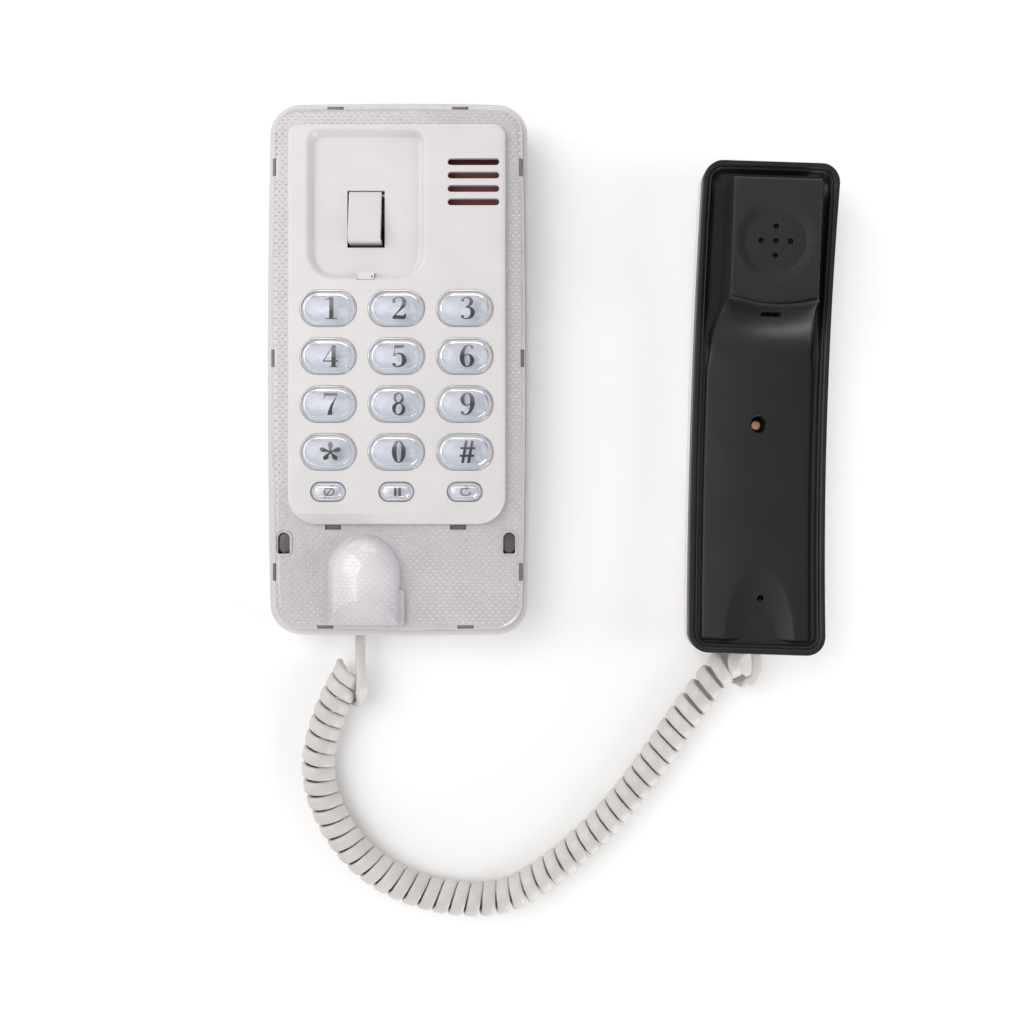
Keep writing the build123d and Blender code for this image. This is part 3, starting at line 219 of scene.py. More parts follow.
def brushed(name, colour, roughness):
    """Bare or plated metal with fine drawn lines."""
    made = Shader(name, Metallic=1.0, Roughness=roughness)
    made.colour(made.ramp(made.noise(300, 4), (0.3, [c * 0.75 for c in colour]), (0.7, colour)))
    made.rough(made.remap(made.noise(500, 3, stretch=(1, 8, 1)), roughness * 0.7, roughness * 1.5))
    made.bump(made.noise(1800, 3), 0.15, 0.0001)
    return made.material


steel = brushed("steel", (0.62, 0.62, 0.64), 0.28)
copper = brushed("copper_plate", (0.70, 0.38, 0.28), 0.22)


PAD_GRAIN_RISE = (0.0315, 0.0325)


def black_shell_material():
    """Satin black plastic; the receiver pad, above the grain's rise, is duller and grained."""
    made = Shader("black_shell", Specular_IOR_Level=0.36)
    deep = (0.0105, 0.0100, 0.0120)
    pale = (0.0145, 0.0140, 0.0165)
    made.colour(made.ramp(made.noise(45, 3), (0.35, deep), (0.75, pale)))
    axes = made.node("ShaderNodeSeparateXYZ")
    made.link(made.coordinates, axes.inputs[0])
    pad = made.node("ShaderNodeMapRange", interpolation_type="SMOOTHSTEP")
    pad.inputs["From Min"].default_value = PAD_GRAIN_RISE[0]
    pad.inputs["From Max"].default_value = PAD_GRAIN_RISE[1]
    made.link(axes.outputs["Z"], pad.inputs["Value"])
    on_pad = pad.outputs["Result"]
    gloss = made.remap(made.noise(420, 4), 0.33, 0.43)
    made.rough(made.math("ADD", gloss, made.math("MULTIPLY", on_pad, 0.12)))
    specks = made.noise(1300, 3, 0.7)
    share = made.math("ADD", made.math("MULTIPLY", on_pad, 0.95), 0.05)
    made.bump(made.math("MULTIPLY", specks, share), 0.8, 0.0005)
    return made.material


black_shell = black_shell_material()


def cord_material():
    """Soft off-white vinyl, faintly clouded, with uneven gloss and a fine skin."""
    made = Shader("cord_vinyl", Specular_IOR_Level=0.5, Coat_Weight=0.15, Coat_Roughness=0.25)
    made.colour(made.ramp(made.noise(70, 3), (0.3, (0.515, 0.485, 0.465)), (0.75, (0.60, 0.575, 0.55))))
    made.rough(made.remap(made.noise(500, 3), 0.36, 0.5))
    made.bump(made.noise(1500, 3), 0.06, 0.0002)
    return made.material


cord_vinyl = cord_material()

# ---- curly cord ----
CORD_THICKNESS = 0.0024
COIL_DIAMETER = 0.0132
CORD_ROUTE = [
    (-0.0163, -0.10245, 0.0090),
    (-0.0162, -0.1076, 0.0088),
    (-0.0178, -0.1136, 0.0076),
    (-0.0216, -0.1190, 0.0066),
    (-0.0302, -0.1360, 0.0066),
    (-0.0350, -0.1575, 0.0066),
    (-0.0265, -0.1805, 0.0066),
    (-0.0100, -0.1980, 0.0066),
    (0.0140, -0.2075, 0.0066),
    (0.0400, -0.2085, 0.0066),
    (0.0620, -0.1950, 0.0066),
    (0.0840, -0.1745, 0.0066),
    (0.1030, -0.1490, 0.0066),
    (0.1150, -0.1310, 0.0066),
    (0.1282, -0.1153, 0.0066),
    (0.1330, -0.1180, 0.0072),
    (0.1373, -0.1184, 0.0096),
    (0.1392, -0.1144, 0.0126),
    (0.1389, -0.1089, 0.0132),
]
TURN_POINTS = 18
COIL_BAND = 0.0052
TAIL_BAND = 0.0041
BAND_POINTS = 14
# Powers that square off the band's section, across and through it.
BAND_POWERS = (0.62, 0.8)
# The coil starts and stops this far from the route's ends.
COIL_SPAN = (0.0160, 0.0175)
COIL_TURNS = 46.5
COIL_START = 1.5 * pi
# The coil is lifted off the route at its ends, and settles on it over this run.
SETTLE_RUN = 0.028
BASE_LIFT = (0.0, 0.0, 0.0019)
HANDSET_LIFT = (0.0012, 0.0034, 0.0021)
# Steps of the hook at each end: distance along the route from that end, then how far the cord lies off it.
BASE_HOOK = (
    (0.0000, 0.0000, 0.0000, 0.0000),
    (0.0050, 0.0002, 0.0000, 0.0010),
    (0.0110, 0.0018, -0.0006, 0.0042),
    (0.0170, 0.0056, -0.0012, 0.0066),
    (0.0215, 0.0078, -0.0022, 0.0062),
    (0.0245, 0.0076, -0.0044, 0.0004),
    (0.0235, 0.0014, -0.0026, -0.0046),
    (0.0190, -0.0026, 0.0004, -0.0046),
)
HANDSET_HOOK = (
    (0.0000, 0.0000, 0.0000, 0.0000),
    (0.0035, 0.0004, -0.0002, 0.0002),
    (0.0080, 0.0012, -0.0016, 0.0004),
    (0.0125, 0.0022, -0.0028, 0.0006),
    (0.0170, 0.0042, -0.0048, -0.0006),
    (0.0205, 0.0034, -0.0030, -0.0040),
    (0.0205, -0.0006, 0.0016, -0.0046),
)
HOOK_POINTS = 8
# The hook's last two points follow the coil's first turn, at these shares of the last step's distance.
HOOK_JOIN = ((0, 0.7), (4, 0.72))


def spline_line(points):
    """The points of a NURBS spline of order 3 with the route's points as its control points."""
    curve = bpy.data.curves.new("cord_route", "CURVE")
    curve.dimensions = "3D"
    curve.resolution_u = 40
    spline = curve.splines.new("NURBS")
    spline.points.add(len(points) - 1)
    for target, place in zip(spline.points, points):
        target.co = (*place, 1.0)
    spline.order_u = 3
    spline.use_endpoint_u = True
    holder = bpy.data.objects.new("cord_route", curve)
    line = bpy.data.meshes.new_from_object(holder)
    found = [v.co.copy() for v in line.vertices]
    bpy.data.objects.remove(holder)
    bpy.data.meshes.remove(line)
    return found


def along(line, count):
    """Places and directions at even distances along a line."""
    steps = [0.0]
    for a, b in zip(line, line[1:]):
        steps.append(steps[-1] + (b - a).length)
    places = []
    k = 0
    for i in range(count):
        want = steps[-1] * i / (count - 1)
        while k < len(steps) - 2 and steps[k + 1] < want:
            k += 1
        share = (want - steps[k]) / max(steps[k + 1] - steps[k], 1e-9)
        places.append(line[k].lerp(line[k + 1], clamp(share)))
    ways = []
    for i in range(count):
        ways.append((places[min(i + 2, count - 1)] - places[max(i - 2, 0)]).normalized())
    return places, ways, steps[-1]


def eased(steps):
    """Even in-between steps of a smooth curve through the given ones, without the last run."""
    found = []
    for k in range(len(steps) - 2):
        before, a, b, after = (Vector(steps[max(k + j, 0)]) for j in (-1, 0, 1, 2))
        leave = (b - before) * 0.5
        reach = (after - a) * 0.5
        for i in range(HOOK_POINTS):
            t = i / HOOK_POINTS
            bend = (b - a) * 3 - leave * 2 - reach
            curl = (a - b) * 2 + leave + reach
            found.append(a + leave * t + bend * t * t + curl * t * t * t)
    return found


def hook_line(axis, spacing, steps, coil):
    """Places, outward directions and fullness of one end's hook, from its plug to the coil."""
    up = Vector((0, 0, 1))

    def at(distance):
        k = min(int(distance / spacing), len(axis) - 2)
        return axis[k].lerp(axis[k + 1], distance / spacing - k)

    far = steps[-1][0]
    for k, reach in HOOK_JOIN:
        steps = (*steps, (far * reach, *(coil[k][0] - at(far * reach))))
    line = []
    found = eased(steps)
    for k, step in enumerate(found):
        off = Vector(step[1:])
        full = smooth(k, 0.35 * len(found), 0.6 * len(found))
        line.append((at(step[0]) + off, up.lerp(off.normalized(), full), full))
    return line


def make_cord():
    """Flat cord wound left-handed round the route's spline, hooked under the coil at both ends."""
    samples = round(COIL_TURNS * TURN_POINTS)
    axis, ways, length = along(spline_line(CORD_ROUTE), 2 * samples)
    spacing = length / (2 * samples - 1)
    radius = (COIL_DIAMETER - CORD_THICKNESS) / 2
    stop = length - COIL_SPAN[1]
    up = Vector((0, 0, 1))
    coil = []
    for k in range(samples + 1):
        share = k / samples
        distance = COIL_SPAN[0] + (stop - COIL_SPAN[0]) * share
        i = round(distance / spacing)
        side = up.cross(ways[i]).normalized()
        above = ways[i].cross(side).normalized()
        turn = COIL_START + 2 * pi * COIL_TURNS * share
        out = above * cos(turn) + side * sin(turn)
        lift = Vector(BASE_LIFT) * (1 - smooth(distance, COIL_SPAN[0], COIL_SPAN[0] + SETTLE_RUN))
        lift += Vector(HANDSET_LIFT) * smooth(distance, stop - SETTLE_RUN, stop)
        coil.append((axis[i] + lift + out * radius, out, 1.0))
    base = hook_line(axis, spacing, BASE_HOOK, coil)
    handset = hook_line(axis[::-1], spacing, HANDSET_HOOK, coil[::-1])
    line = base + coil + handset[::-1]
    path = [place for place, out, full in line]
    count = len(line)
    rings = []
    half_thick = CORD_THICKNESS / 2
    for i, (place, out, full) in enumerate(line):
        way = (path[min(i + 1, count - 1)] - path[max(i - 1, 0)]).normalized()
        out = (out - way * out.dot(way)).normalized()
        across = way.cross(out)
        half_width = (TAIL_BAND + (COIL_BAND - TAIL_BAND) * full) / 2
        ring = []
        for j in range(BAND_POINTS):
            angle = 2 * pi * j / BAND_POINTS
            x = abs(cos(angle)) ** BAND_POWERS[0] * (1 if cos(angle) > 0 else -1)
            y = abs(sin(angle)) ** BAND_POWERS[1] * (1 if sin(angle) > 0 else -1)
            ring.append(place + across * x * half_width + out * y * half_thick)
        rings.append(ring)
    cord = new_object("curly_cord_strand", *skin_rings(rings), cord_vinyl)
    real = sum((b - a).length for a, b in zip(path, path[1:]))
    return cord, path, real


curly, curly_path, curly_length = make_cord()
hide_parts("curly_cord", "cord_tail_base", "cord_tail_handset")
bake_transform(curly)

# ---- keys: clear domed cap over a pale core with a printed figure ----
KEY_HALF = (0.01065, 0.00685)
SMALL_KEY_HALF = (0.00655, 0.0036)
CAP_FOOT = 0.0283
CORE_FOOT = 0.0257
CORE_FLANGE = 0.0270
CORE_TOP = 0.0281
FIGURE_HEIGHT = 0.0087
SYMBOL_HEIGHT = 0.0051
# Half the width of a figure and how much it is broadened, for strokes given in figure heights.
FIGURE_MIDDLE = 0.29
FIGURE_BREADTH = 1.08
INK_THICKNESS = 0.00008
# Each further stroke of a figure lies this much higher, so that no two tops share a plane.
STROKE_STEP = 0.000004
THINNEST_STROKE = 0.004


def clear_material(name, tint, roughness):
    """Clear plastic that lets lamps through to what is under it."""
    made = Shader(name, Transmission_Weight=1.0, IOR=1.47, Base_Color=tint)
    made.rough(made.remap(made.noise(300, 3), roughness * 0.4, roughness * 1.6))
    made.bump(made.noise(90, 1), 0.015, 0.0002)
    path = made.node("ShaderNodeLightPath")
    clear = made.node("ShaderNodeBsdfTransparent", Color=(0.96, 0.97, 0.99, 1.0))
    mix = made.node("ShaderNodeMixShader")
    output = made.tree.nodes["Material Output"]
    made.link(path.outputs["Is Shadow Ray"], mix.inputs[0])
    made.link(made.bsdf.outputs[0], mix.inputs[1])
    made.link(clear.outputs[0], mix.inputs[2])
    made.link(mix.outputs[0], output.inputs["Surface"])
    return made.material


def core_material():
    """Cool white core of a key, faintly clouded."""
    made = Shader("key_core", Roughness=0.4, Coat_Weight=0.5, Coat_Roughness=0.08)
    made.colour(made.ramp(made.noise(160, 2), (0.3, (0.575, 0.59, 0.625)), (0.75, (0.65, 0.663, 0.692))))
    made.bump(made.noise(900, 3), 0.05, 0.0002)
    return made.material


def ink_and_reflection_material(name, low, high):
    """Printed black ink with painted reflection of the clear cap: grey at the top of a figure and black at
    its foot.
    """
    made = Shader(name, Roughness=0.45)
    axes = made.node("ShaderNodeSeparateXYZ")
    made.link(made.coordinates, axes.inputs[0])
    place = made.math("ADD", made.math("DIVIDE", axes.outputs["Y"], FIGURE_HEIGHT), 0.5)
    spread = made.math("ADD", place, made.math("MULTIPLY", made.noise(500, 2), 0.12))
    # Painted reflection: from a little above the middle of the figure up to its top, the black turns into the
    # grey second colour.
    made.colour(made.ramp(spread, (0.55, low), (1.0, high)))
    made.bump(made.noise(3000, 2), 0.1, 0.0001)
    return made.material


key_cap = clear_material("key_cap", (0.95, 0.96, 0.99), 0.02)
key_core = core_material()
# The second colour of each ink is the painted reflection of the cap on the top of the figure, not ink.
figure_ink_and_reflection = ink_and_reflection_material("figure_ink_and_reflection", (0.002, 0.002, 0.002), (0.09, 0.09, 0.10))
symbol_ink_and_reflection = ink_and_reflection_material("symbol_ink_and_reflection", (0.02, 0.02, 0.022), (0.05, 0.05, 0.055))


OVAL_STEPS = 20


def stadium(half_x, half_y, inset, z):
    """Ring of points of a flat-sided oval drawn in by an inset."""
    radius = half_y - inset
    run = half_x - half_y
    ring = []
    for side in (1, -1):
        for k in range(OVAL_STEPS + 1):
            angle = side * pi / 2 - pi * k / OVAL_STEPS
            ring.append(Vector((side * run + radius * cos(angle), radius * sin(angle), z)))
    return ring


def oval_stack(half, levels):
    """Closed body from a list of (inset, height) rings."""
    rings = [stadium(half[0], half[1], inset, z) for inset, z in levels]
    return skin_rings(rings)


def cap_levels(low, crown, depth):
    """Profile of a key cap: skirt, rounded lip, shallow groove and dome."""
    lip = crown - 0.0018
    levels = [(0.0, low), (0.0, lip - 0.0005), (0.00015, lip - 0.00015), (0.0005, lip), (0.0009, lip)]
    levels.append((0.0012, lip - 0.0002))
    for k in range(1, 13):
        share = k / 12
        inset = 0.0013 + (depth - 0.0013) * share
        levels.append((inset, lip - 0.0002 + (crown - lip + 0.0002) * sqrt(1 - (1 - share) ** 2.3)))
    return levels


STROKE_STEPS = 9


def ribbon(points, closed):
    """Left and right edges of a smooth stroke through (x, y, width) points."""
    count = len(points)
    spans = count if closed else count - 1
    dense = []
    for i in range(spans):
        if closed:
            a, b, c, d = (points[(i + k) % count] for k in (-1, 0, 1, 2))
        else:
            a, b, c, d = points[max(i - 1, 0)], points[i], points[i + 1], points[min(i + 2, count - 1)]
        for k in range(STROKE_STEPS):
            t = k / STROKE_STEPS
            dense.append([
                0.5 * (
                    2 * q + (r - p) * t + (2 * p - 5 * q + 4 * r - s) * t * t
                    + (3 * q - p - 3 * r + s) * t**3
                )
                for p, q, r, s in zip(a, b, c, d)
            ])
    if not closed:
        dense.append(list(points[-1]))
    total = len(dense)
    edges = []
    for i, (x, y, width) in enumerate(dense):
        before = dense[(i - 1) % total] if closed or i else dense[0]
        after = dense[(i + 1) % total] if closed or i < total - 1 else dense[-1]
        dx, dy = after[0] - before[0], after[1] - before[1]
        size = max(hypot(dx, dy), 1e-9)
        half = max(width, THINNEST_STROKE) / 2
        off_x = dy / size * half
        off_y = dx / size * half
        edges.append(((x - off_x, y + off_y), (x + off_x, y - off_y)))
    return edges


def oval_stroke(x, y, rx, ry, side, end, lean=0.0):
    """Closed round stroke, thick at its sides and thin at its ends."""
    points = []
    for k in range(12):
        angle = 2 * pi * k / 12
        width = end + (side - end) * abs(cos(angle + lean)) ** 1.5
        points.append((x + rx * cos(angle), y + ry * sin(angle), width))
    return points


def turned(strokes):
    """Half a turn about the figure's middle."""
    return [[(2 * FIGURE_MIDDLE - x, 1 - y, width) for x, y, width in stroke] for stroke in strokes]


SIX = [[
    (0.49, 0.84, 0.13), (0.475, 0.93, 0.07), (0.36, 0.985, 0.045), (0.20, 0.88, 0.10), (0.10, 0.62, 0.17),
    (0.085, 0.36, 0.19), (0.15, 0.12, 0.13), (0.29, 0.015, 0.04), (0.43, 0.12, 0.12), (0.485, 0.30, 0.17),
    (0.43, 0.49, 0.11), (0.32, 0.575, 0.045), (0.20, 0.52, 0.045), (0.14, 0.42, 0.03),
]]
LOWER_BOWL = [
    (0.51, 0.31, 0.19), (0.44, 0.11, 0.12), (0.26, 0.02, 0.045), (0.11, 0.07, 0.07), (0.10, 0.17, 0.14),
]
OPEN_STROKES = {
    "1": [
        [(0.33, 0.0, 0.17), (0.33, 0.5, 0.17), (0.33, 0.99, 0.17)],
        [(0.36, 0.975, 0.05), (0.22, 0.90, 0.06), (0.08, 0.86, 0.02)],
        [(0.10, 0.018, 0.036), (0.33, 0.018, 0.036), (0.56, 0.018, 0.036)],
    ],
    "2": [
        [(0.11, 0.73, 0.15), (0.09, 0.85, 0.08), (0.19, 0.96, 0.05), (0.31, 0.985, 0.045), (0.45, 0.93, 0.11),
         (0.51, 0.77, 0.18), (0.46, 0.59, 0.14), (0.32, 0.40, 0.07), (0.17, 0.23, 0.05), (0.05, 0.06, 0.04)],
        [(0.04, 0.05, 0.10), (0.20, 0.09, 0.17), (0.38, 0.08, 0.16), (0.50, 0.09, 0.16), (0.57, 0.26, 0.02)],
    ],
    "3": [
        [(0.10, 0.79, 0.14), (0.12, 0.90, 0.07), (0.26, 0.98, 0.045), (0.41, 0.91, 0.12), (0.45, 0.77, 0.15),
         (0.38, 0.62, 0.08), (0.22, 0.55, 0.035)],
        [(0.22, 0.55, 0.035), (0.42, 0.50, 0.09)] + LOWER_BOWL,
    ],
    "4": [
        [(0.42, 0.0, 0.17), (0.42, 0.5, 0.17), (0.42, 0.98, 0.15)],
        [(0.41, 0.97, 0.05), (0.21, 0.63, 0.04), (0.01, 0.28, 0.04)],
        [(0.0, 0.27, 0.06), (0.3, 0.27, 0.06), (0.60, 0.27, 0.06)],
        [(0.25, 0.018, 0.036), (0.42, 0.018, 0.036), (0.59, 0.018, 0.036)],
    ],
    "5": [
        [(0.12, 0.93, 0.13), (0.34, 0.92, 0.14), (0.53, 0.96, 0.05)],
        [(0.14, 0.97, 0.05), (0.12, 0.75, 0.035), (0.10, 0.50, 0.035)],
        [(0.10, 0.50, 0.03), (0.26, 0.61, 0.06), (0.44, 0.54, 0.13)] + LOWER_BOWL,
    ],
    "6": SIX,
    "7": [
        [(0.05, 0.93, 0.14), (0.30, 0.92, 0.14), (0.57, 0.94, 0.12)],
        [(0.05, 0.97, 0.05), (0.045, 0.85, 0.04), (0.03, 0.72, 0.03)],
        [(0.56, 0.90, 0.05), (0.43, 0.62, 0.07), (0.32, 0.34, 0.12), (0.28, 0.08, 0.18), (0.28, 0.0, 0.18)],
    ],
    "8": [],
    "9": turned(SIX),
    "0": [],
    "star": [],
    "hash": [
        [(0.10, 0.0, 0.11), (0.18, 0.5, 0.11), (0.26, 1.0, 0.11)],
        [(0.34, 0.0, 0.11), (0.42, 0.5, 0.11), (0.50, 1.0, 0.11)],
        [(-0.01, 0.32, 0.10), (0.28, 0.32, 0.10), (0.58, 0.32, 0.10)],
        [(0.02, 0.66, 0.10), (0.31, 0.66, 0.10), (0.61, 0.66, 0.10)],
    ],
}
CLOSED_STROKES = {
    "8": [
        oval_stroke(0.29, 0.765, 0.155, 0.215, 0.115, 0.045, 0.35),
        oval_stroke(0.29, 0.275, 0.195, 0.255, 0.15, 0.045, 0.35),
    ],
    "0": [oval_stroke(0.29, 0.5, 0.185, 0.475, 0.19, 0.04)],
}
for lobe in range(5):
    angle = pi / 2 + 2 * pi * lobe / 5
    OPEN_STROKES["star"].append([
        (0.29 + reach * cos(angle), 0.50 + reach * sin(angle), width)
        for reach, width in ((0.0, 0.05), (0.13, 0.08), (0.27, 0.18), (0.37, 0.18), (0.45, 0.02))
    ])
SYMBOL_STROKES = {
    "mute": (
        [[(0.0, 0.02, 0.08), (0.29, 0.5, 0.08), (0.58, 0.98, 0.08)]],
        [oval_stroke(0.29, 0.5, 0.33, 0.33, 0.09, 0.09)],
    ),
    "pause": ([[(x, 0.1, 0.17), (x, 0.5, 0.17), (x, 0.9, 0.17)] for x in (0.14, 0.44)], []),
    "redial": (
        [[(0.29 + 0.33 * cos(a * pi / 6), 0.5 + 0.33 * sin(a * pi / 6), 0.09) for a in range(3, 13)],
         [(0.29, 0.83, 0.34), (0.42, 0.83, 0.17), (0.55, 0.83, 0.01)]],
        [],
    ),
}


def figure_skin(open_strokes, closed_strokes, height):
    """Points and faces of a flat raised figure about its own middle."""
    points = []
    faces = []
    level = 0.0
    for stroke, closed in [(s, False) for s in open_strokes] + [(s, True) for s in closed_strokes]:
        edges = ribbon(stroke, closed)
        start = len(points)
        level += STROKE_STEP
        for left, right in edges:
            for x, y in (left, right):
                for z in (0.0, INK_THICKNESS + level):
                    points.append(((x - FIGURE_MIDDLE) * height * FIGURE_BREADTH, (y - 0.5) * height, z))
        last = len(edges) if closed else len(edges) - 1
        for i in range(last):
            a = start + 4 * i
            b = start + 4 * ((i + 1) % len(edges))
            faces += [(a + 1, a + 3, b + 3, b + 1), (a, a + 1, b + 1, b)]
            faces += [(a + 3, a + 2, b + 2, b + 3), (a + 2, a, b, b + 2)]
        if not closed:
            end = start + 4 * (len(edges) - 1)
            faces += [(start, start + 2, start + 3, start + 1), (end, end + 1, end + 3, end + 2)]
    return points, faces


# Half size of a key, and height, shift to the right, depth below the crown and ink of its figure.
NUMBER_STYLE = (KEY_HALF, FIGURE_HEIGHT, 0.0010, 0.0013, figure_ink_and_reflection)
SYMBOL_STYLE = (SMALL_KEY_HALF, SYMBOL_HEIGHT, 0.0004, 0.0011, symbol_ink_and_reflection)


def make_key(key, strokes, rounds, style):
    """Cap, core and figure of one key, in place of its CAD node."""
    half, height, shift, sink, ink = style
    node = "key_" + key
    low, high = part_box(node)
    centre = (Vector(low) + Vector(high)) / 2
    crown = high[2]
    depth = half[1] * 0.98
    place = Matrix.Translation((centre.x, centre.y, 0))
    cap = new_object(f"cap_{key}", *oval_stack(half, cap_levels(CAP_FOOT, crown, depth)), key_cap)
    profile = [(-0.0007, CORE_FOOT), (-0.0007, CORE_FLANGE), (0.0, CORE_FLANGE + 0.0001)]
    profile += [(0.0, CORE_TOP - 0.0004), (0.0003, CORE_TOP - 0.0001), (0.0006, CORE_TOP)]
    profile += [(0.0011, CORE_TOP - 0.0003), (0.002, CORE_TOP - 0.0001), (depth, CORE_TOP)]
    core = new_object(f"core_{key}", *oval_stack(half, profile), key_core)
    figure = new_object(f"figure_{key}", *figure_skin(strokes, rounds, height), ink, False)
    for piece in (cap, core):
        piece.matrix_world = place
    figure.matrix_world = Matrix.Translation((centre.x + shift, centre.y, crown - sink))
    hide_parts(node)
    for piece in (cap, core, figure):
        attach(piece, node)


for key in OPEN_STROKES:
    make_key(key, OPEN_STROKES[key], CLOSED_STROKES.get(key, []), NUMBER_STYLE)
for key, (strokes, rounds) in SYMBOL_STROKES.items():
    make_key(key, strokes, rounds, SYMBOL_STYLE)

# ---- handset: rimmed inner half with receiver pad, sweep, grip and scoop ----
TILT = radians(-1.85)
HANDSET_PLACE = Matrix.Translation((0.1400, -0.0145, 0)) @ Matrix.Rotation(TILT, 4, "Z")
HALF_WIDTH = 26.2
HALF_LENGTH = 94.0
CORNER = 7.5
ARC = 550.0
PARTING = 11.0
RIM = 16.0
LEDGE = 12.4
# The rim's steps, measured in from the outline: top, groove, inner bead, fall to the ledge.
RIM_FLAT = 2.0
GROOVE_END = 2.5
BEAD_END = 3.3
RIM_WIDTH = 3.9
CROWN = 14.8
PAD_TOP = 33.5
PAD_HALF = 16.4
GRIP_HALF = 21.6
SHOULDER_V = 17.0
PAD_ENDS = (40.0, 85.0)
DRAFT = 0.5
LIP_BOW = 2.7
SWEEP = (18.53, 35.68, 20.58)
SWEEP_END = 18.0
EARPIECE_V = 61.5
DISH_RADIUS = 15.2
DISH_DEPTH = 1.5
SCREW_V = -5.5
SCOOP_ENDS = (-61.0, -89.6)
SCOOP_DROP = 2.9
SCOOP_CYLINDER = 42.0
SCOOP_U = 2.0
MIC_V = -73.2
WALL = 1.8


def arc(v):
    """Rise of the handset's long curve at v millimetres from its middle."""
    return ARC - sqrt(ARC**2 - v**2)


def edge_distance(u, v):
    """Distance in from the rounded outline."""
    x = abs(u) - (HALF_WIDTH - CORNER)
    y = abs(v) - (HALF_LENGTH - CORNER)
    outside = hypot(max(x, 0), max(y, 0)) + min(max(x, y), 0)
    return CORNER - outside


def half_width(v):
    """Half width of the raised face."""
    share = clamp((v - SHOULDER_V) / (PAD_ENDS[0] - SHOULDER_V))
    return GRIP_HALF - (GRIP_HALF - PAD_HALF) * share**2


def rim_profile(d):
    """Height over the parting line's curve of the double-stepped rim, at d in from the outline."""
    if d < 0.5:
        return RIM - 0.5 + sqrt(max(0.25 - (0.5 - d) ** 2, 0))
    if d < RIM_FLAT:
        return RIM
    if d < GROOVE_END:
        return RIM - 0.9
    if d < BEAD_END:
        return RIM - 0.25 - 0.3 * (abs(d - 2.9) / 0.4) ** 2
    return RIM - 0.6 - (RIM - 0.6 - LEDGE) * smooth(d, BEAD_END, RIM_WIDTH)


def scoop_drop(v):
    """Depth of the scoop's middle line, on a curve that gives the scoop its round arch."""
    start, foot = SCOOP_ENDS
    return SCOOP_DROP * (1 - clamp((v - foot) / (start - foot)) ** 2)


def face_height(u, v, dish=True):
    """Height of pad, sweep and grip, without their side walls."""
    lip, top = PAD_ENDS
    cross = 1.9 * (u / GRIP_HALF) ** 2
    if v >= lip:
        height = PAD_TOP - 0.9 * (1 - min((v - lip) / 1.4, 1)) ** 2.4
        height -= 0.8 * (1 - min(max(top - v, 0) / 1.2, 1)) ** 2
        if dish:
            reach = hypot(u, v - EARPIECE_V) / DISH_RADIUS
            if reach < 1:
                height -= DISH_DEPTH * smooth(1 - reach, 0, 0.26)
        return height
    if v > SWEEP_END:
        run, centre, radius = SWEEP
        low = centre - sqrt(max(radius**2 - (v - run) ** 2, 0))
        return low - cross * (1 - smooth(v, 22, 38))
    height = CROWN + arc(v) - cross
    if v < SCOOP_ENDS[0]:
        bottom = CROWN + arc(v) - scoop_drop(v)
        height = min(height, bottom + SCOOP_CYLINDER - sqrt(SCOOP_CYLINDER**2 - (u - SCOOP_U) ** 2))
    return height


def shell_height(u, v, dish=True):
    """Height of the inner half at a point of its plan."""
    d = edge_distance(u, v)
    curve = arc(v)
    height = rim_profile(d) + curve
    if d < BEAD_END:
        return height
    side = min(half_width(v) - abs(u), PAD_ENDS[1] - v, v - SCOOP_ENDS[1])
    if side <= -DRAFT:
        return height
    face = face_height(u, v, dish)
    roll = 1.6 + 1.4 * smooth(v, 14, 24) if v < PAD_ENDS[0] else 0.7
    if side < 0:
        return max(height, height + (face - roll - height) * (1 + side / DRAFT))
    fall = roll * (1 - sqrt(max(1 - (1 - min(side / roll, 1)) ** 2, 0)))
    return max(height, face - fall)


def levels(start, runs):
    """Rising list of places from a start and (end, step) runs."""
    found = []
    for end, step in runs:
        count = max(1, round((end - start) / step))
        found += [start + (end - start) * k / count for k in range(count)]
        start = end
    return found + [start]


def lip_shift(u, v):
    """How far the pad's bowed lower edge carries a point down the handset."""
    bow = LIP_BOW * max(1 - (u / PAD_HALF) ** 2, 0)
    return -bow * smooth(v, SWEEP_END, PAD_ENDS[0]) * (1 - smooth(v, PAD_ENDS[0] + 2, PAD_ENDS[0] + 9))


# Grid of the inner half, close together where its shape turns sharply: ends and steps of the runs of rows
# along the handset, steps in from the outline over the rim, and steps in from the raised face's edge.
ROW_RUNS = (
    (-93.3, 0.12), (-90.3, 0.24), (-88.6, 0.08), (-86.0, 0.4), (-58.0, 0.5), (-12.0, 1.6),
    (2.0, 1.2), (18.0, 1.4), (34.0, 0.6), (38.6, 0.3), (42.4, 0.12), (78.0, 0.55),
    (83.6, 0.6), (84.9, 0.16), (85.6, 0.05), (89.2, 0.45), (93.3, 0.24), (94.0, 0.12),
)
RIM_STEPS = (
    0.0, 0.06, 0.15, 0.3, 0.5, 0.9, 1.4, 1.98, 2.02, 2.25,
    2.48, 2.52, 2.7, 2.9, 3.1, 3.28, 3.4, 3.6, RIM_WIDTH,
)
WALL_STEPS = (
    -DRAFT, 0.004 - DRAFT, -0.46, -0.3, -0.12, -0.03, -0.004, 0.0, 0.025, 0.07,
    0.15, 0.3, 0.5, 0.75, 1.05, 1.5, 2.0, 2.5, 3.1, 3.8,
)
FACE_STEPS = 30


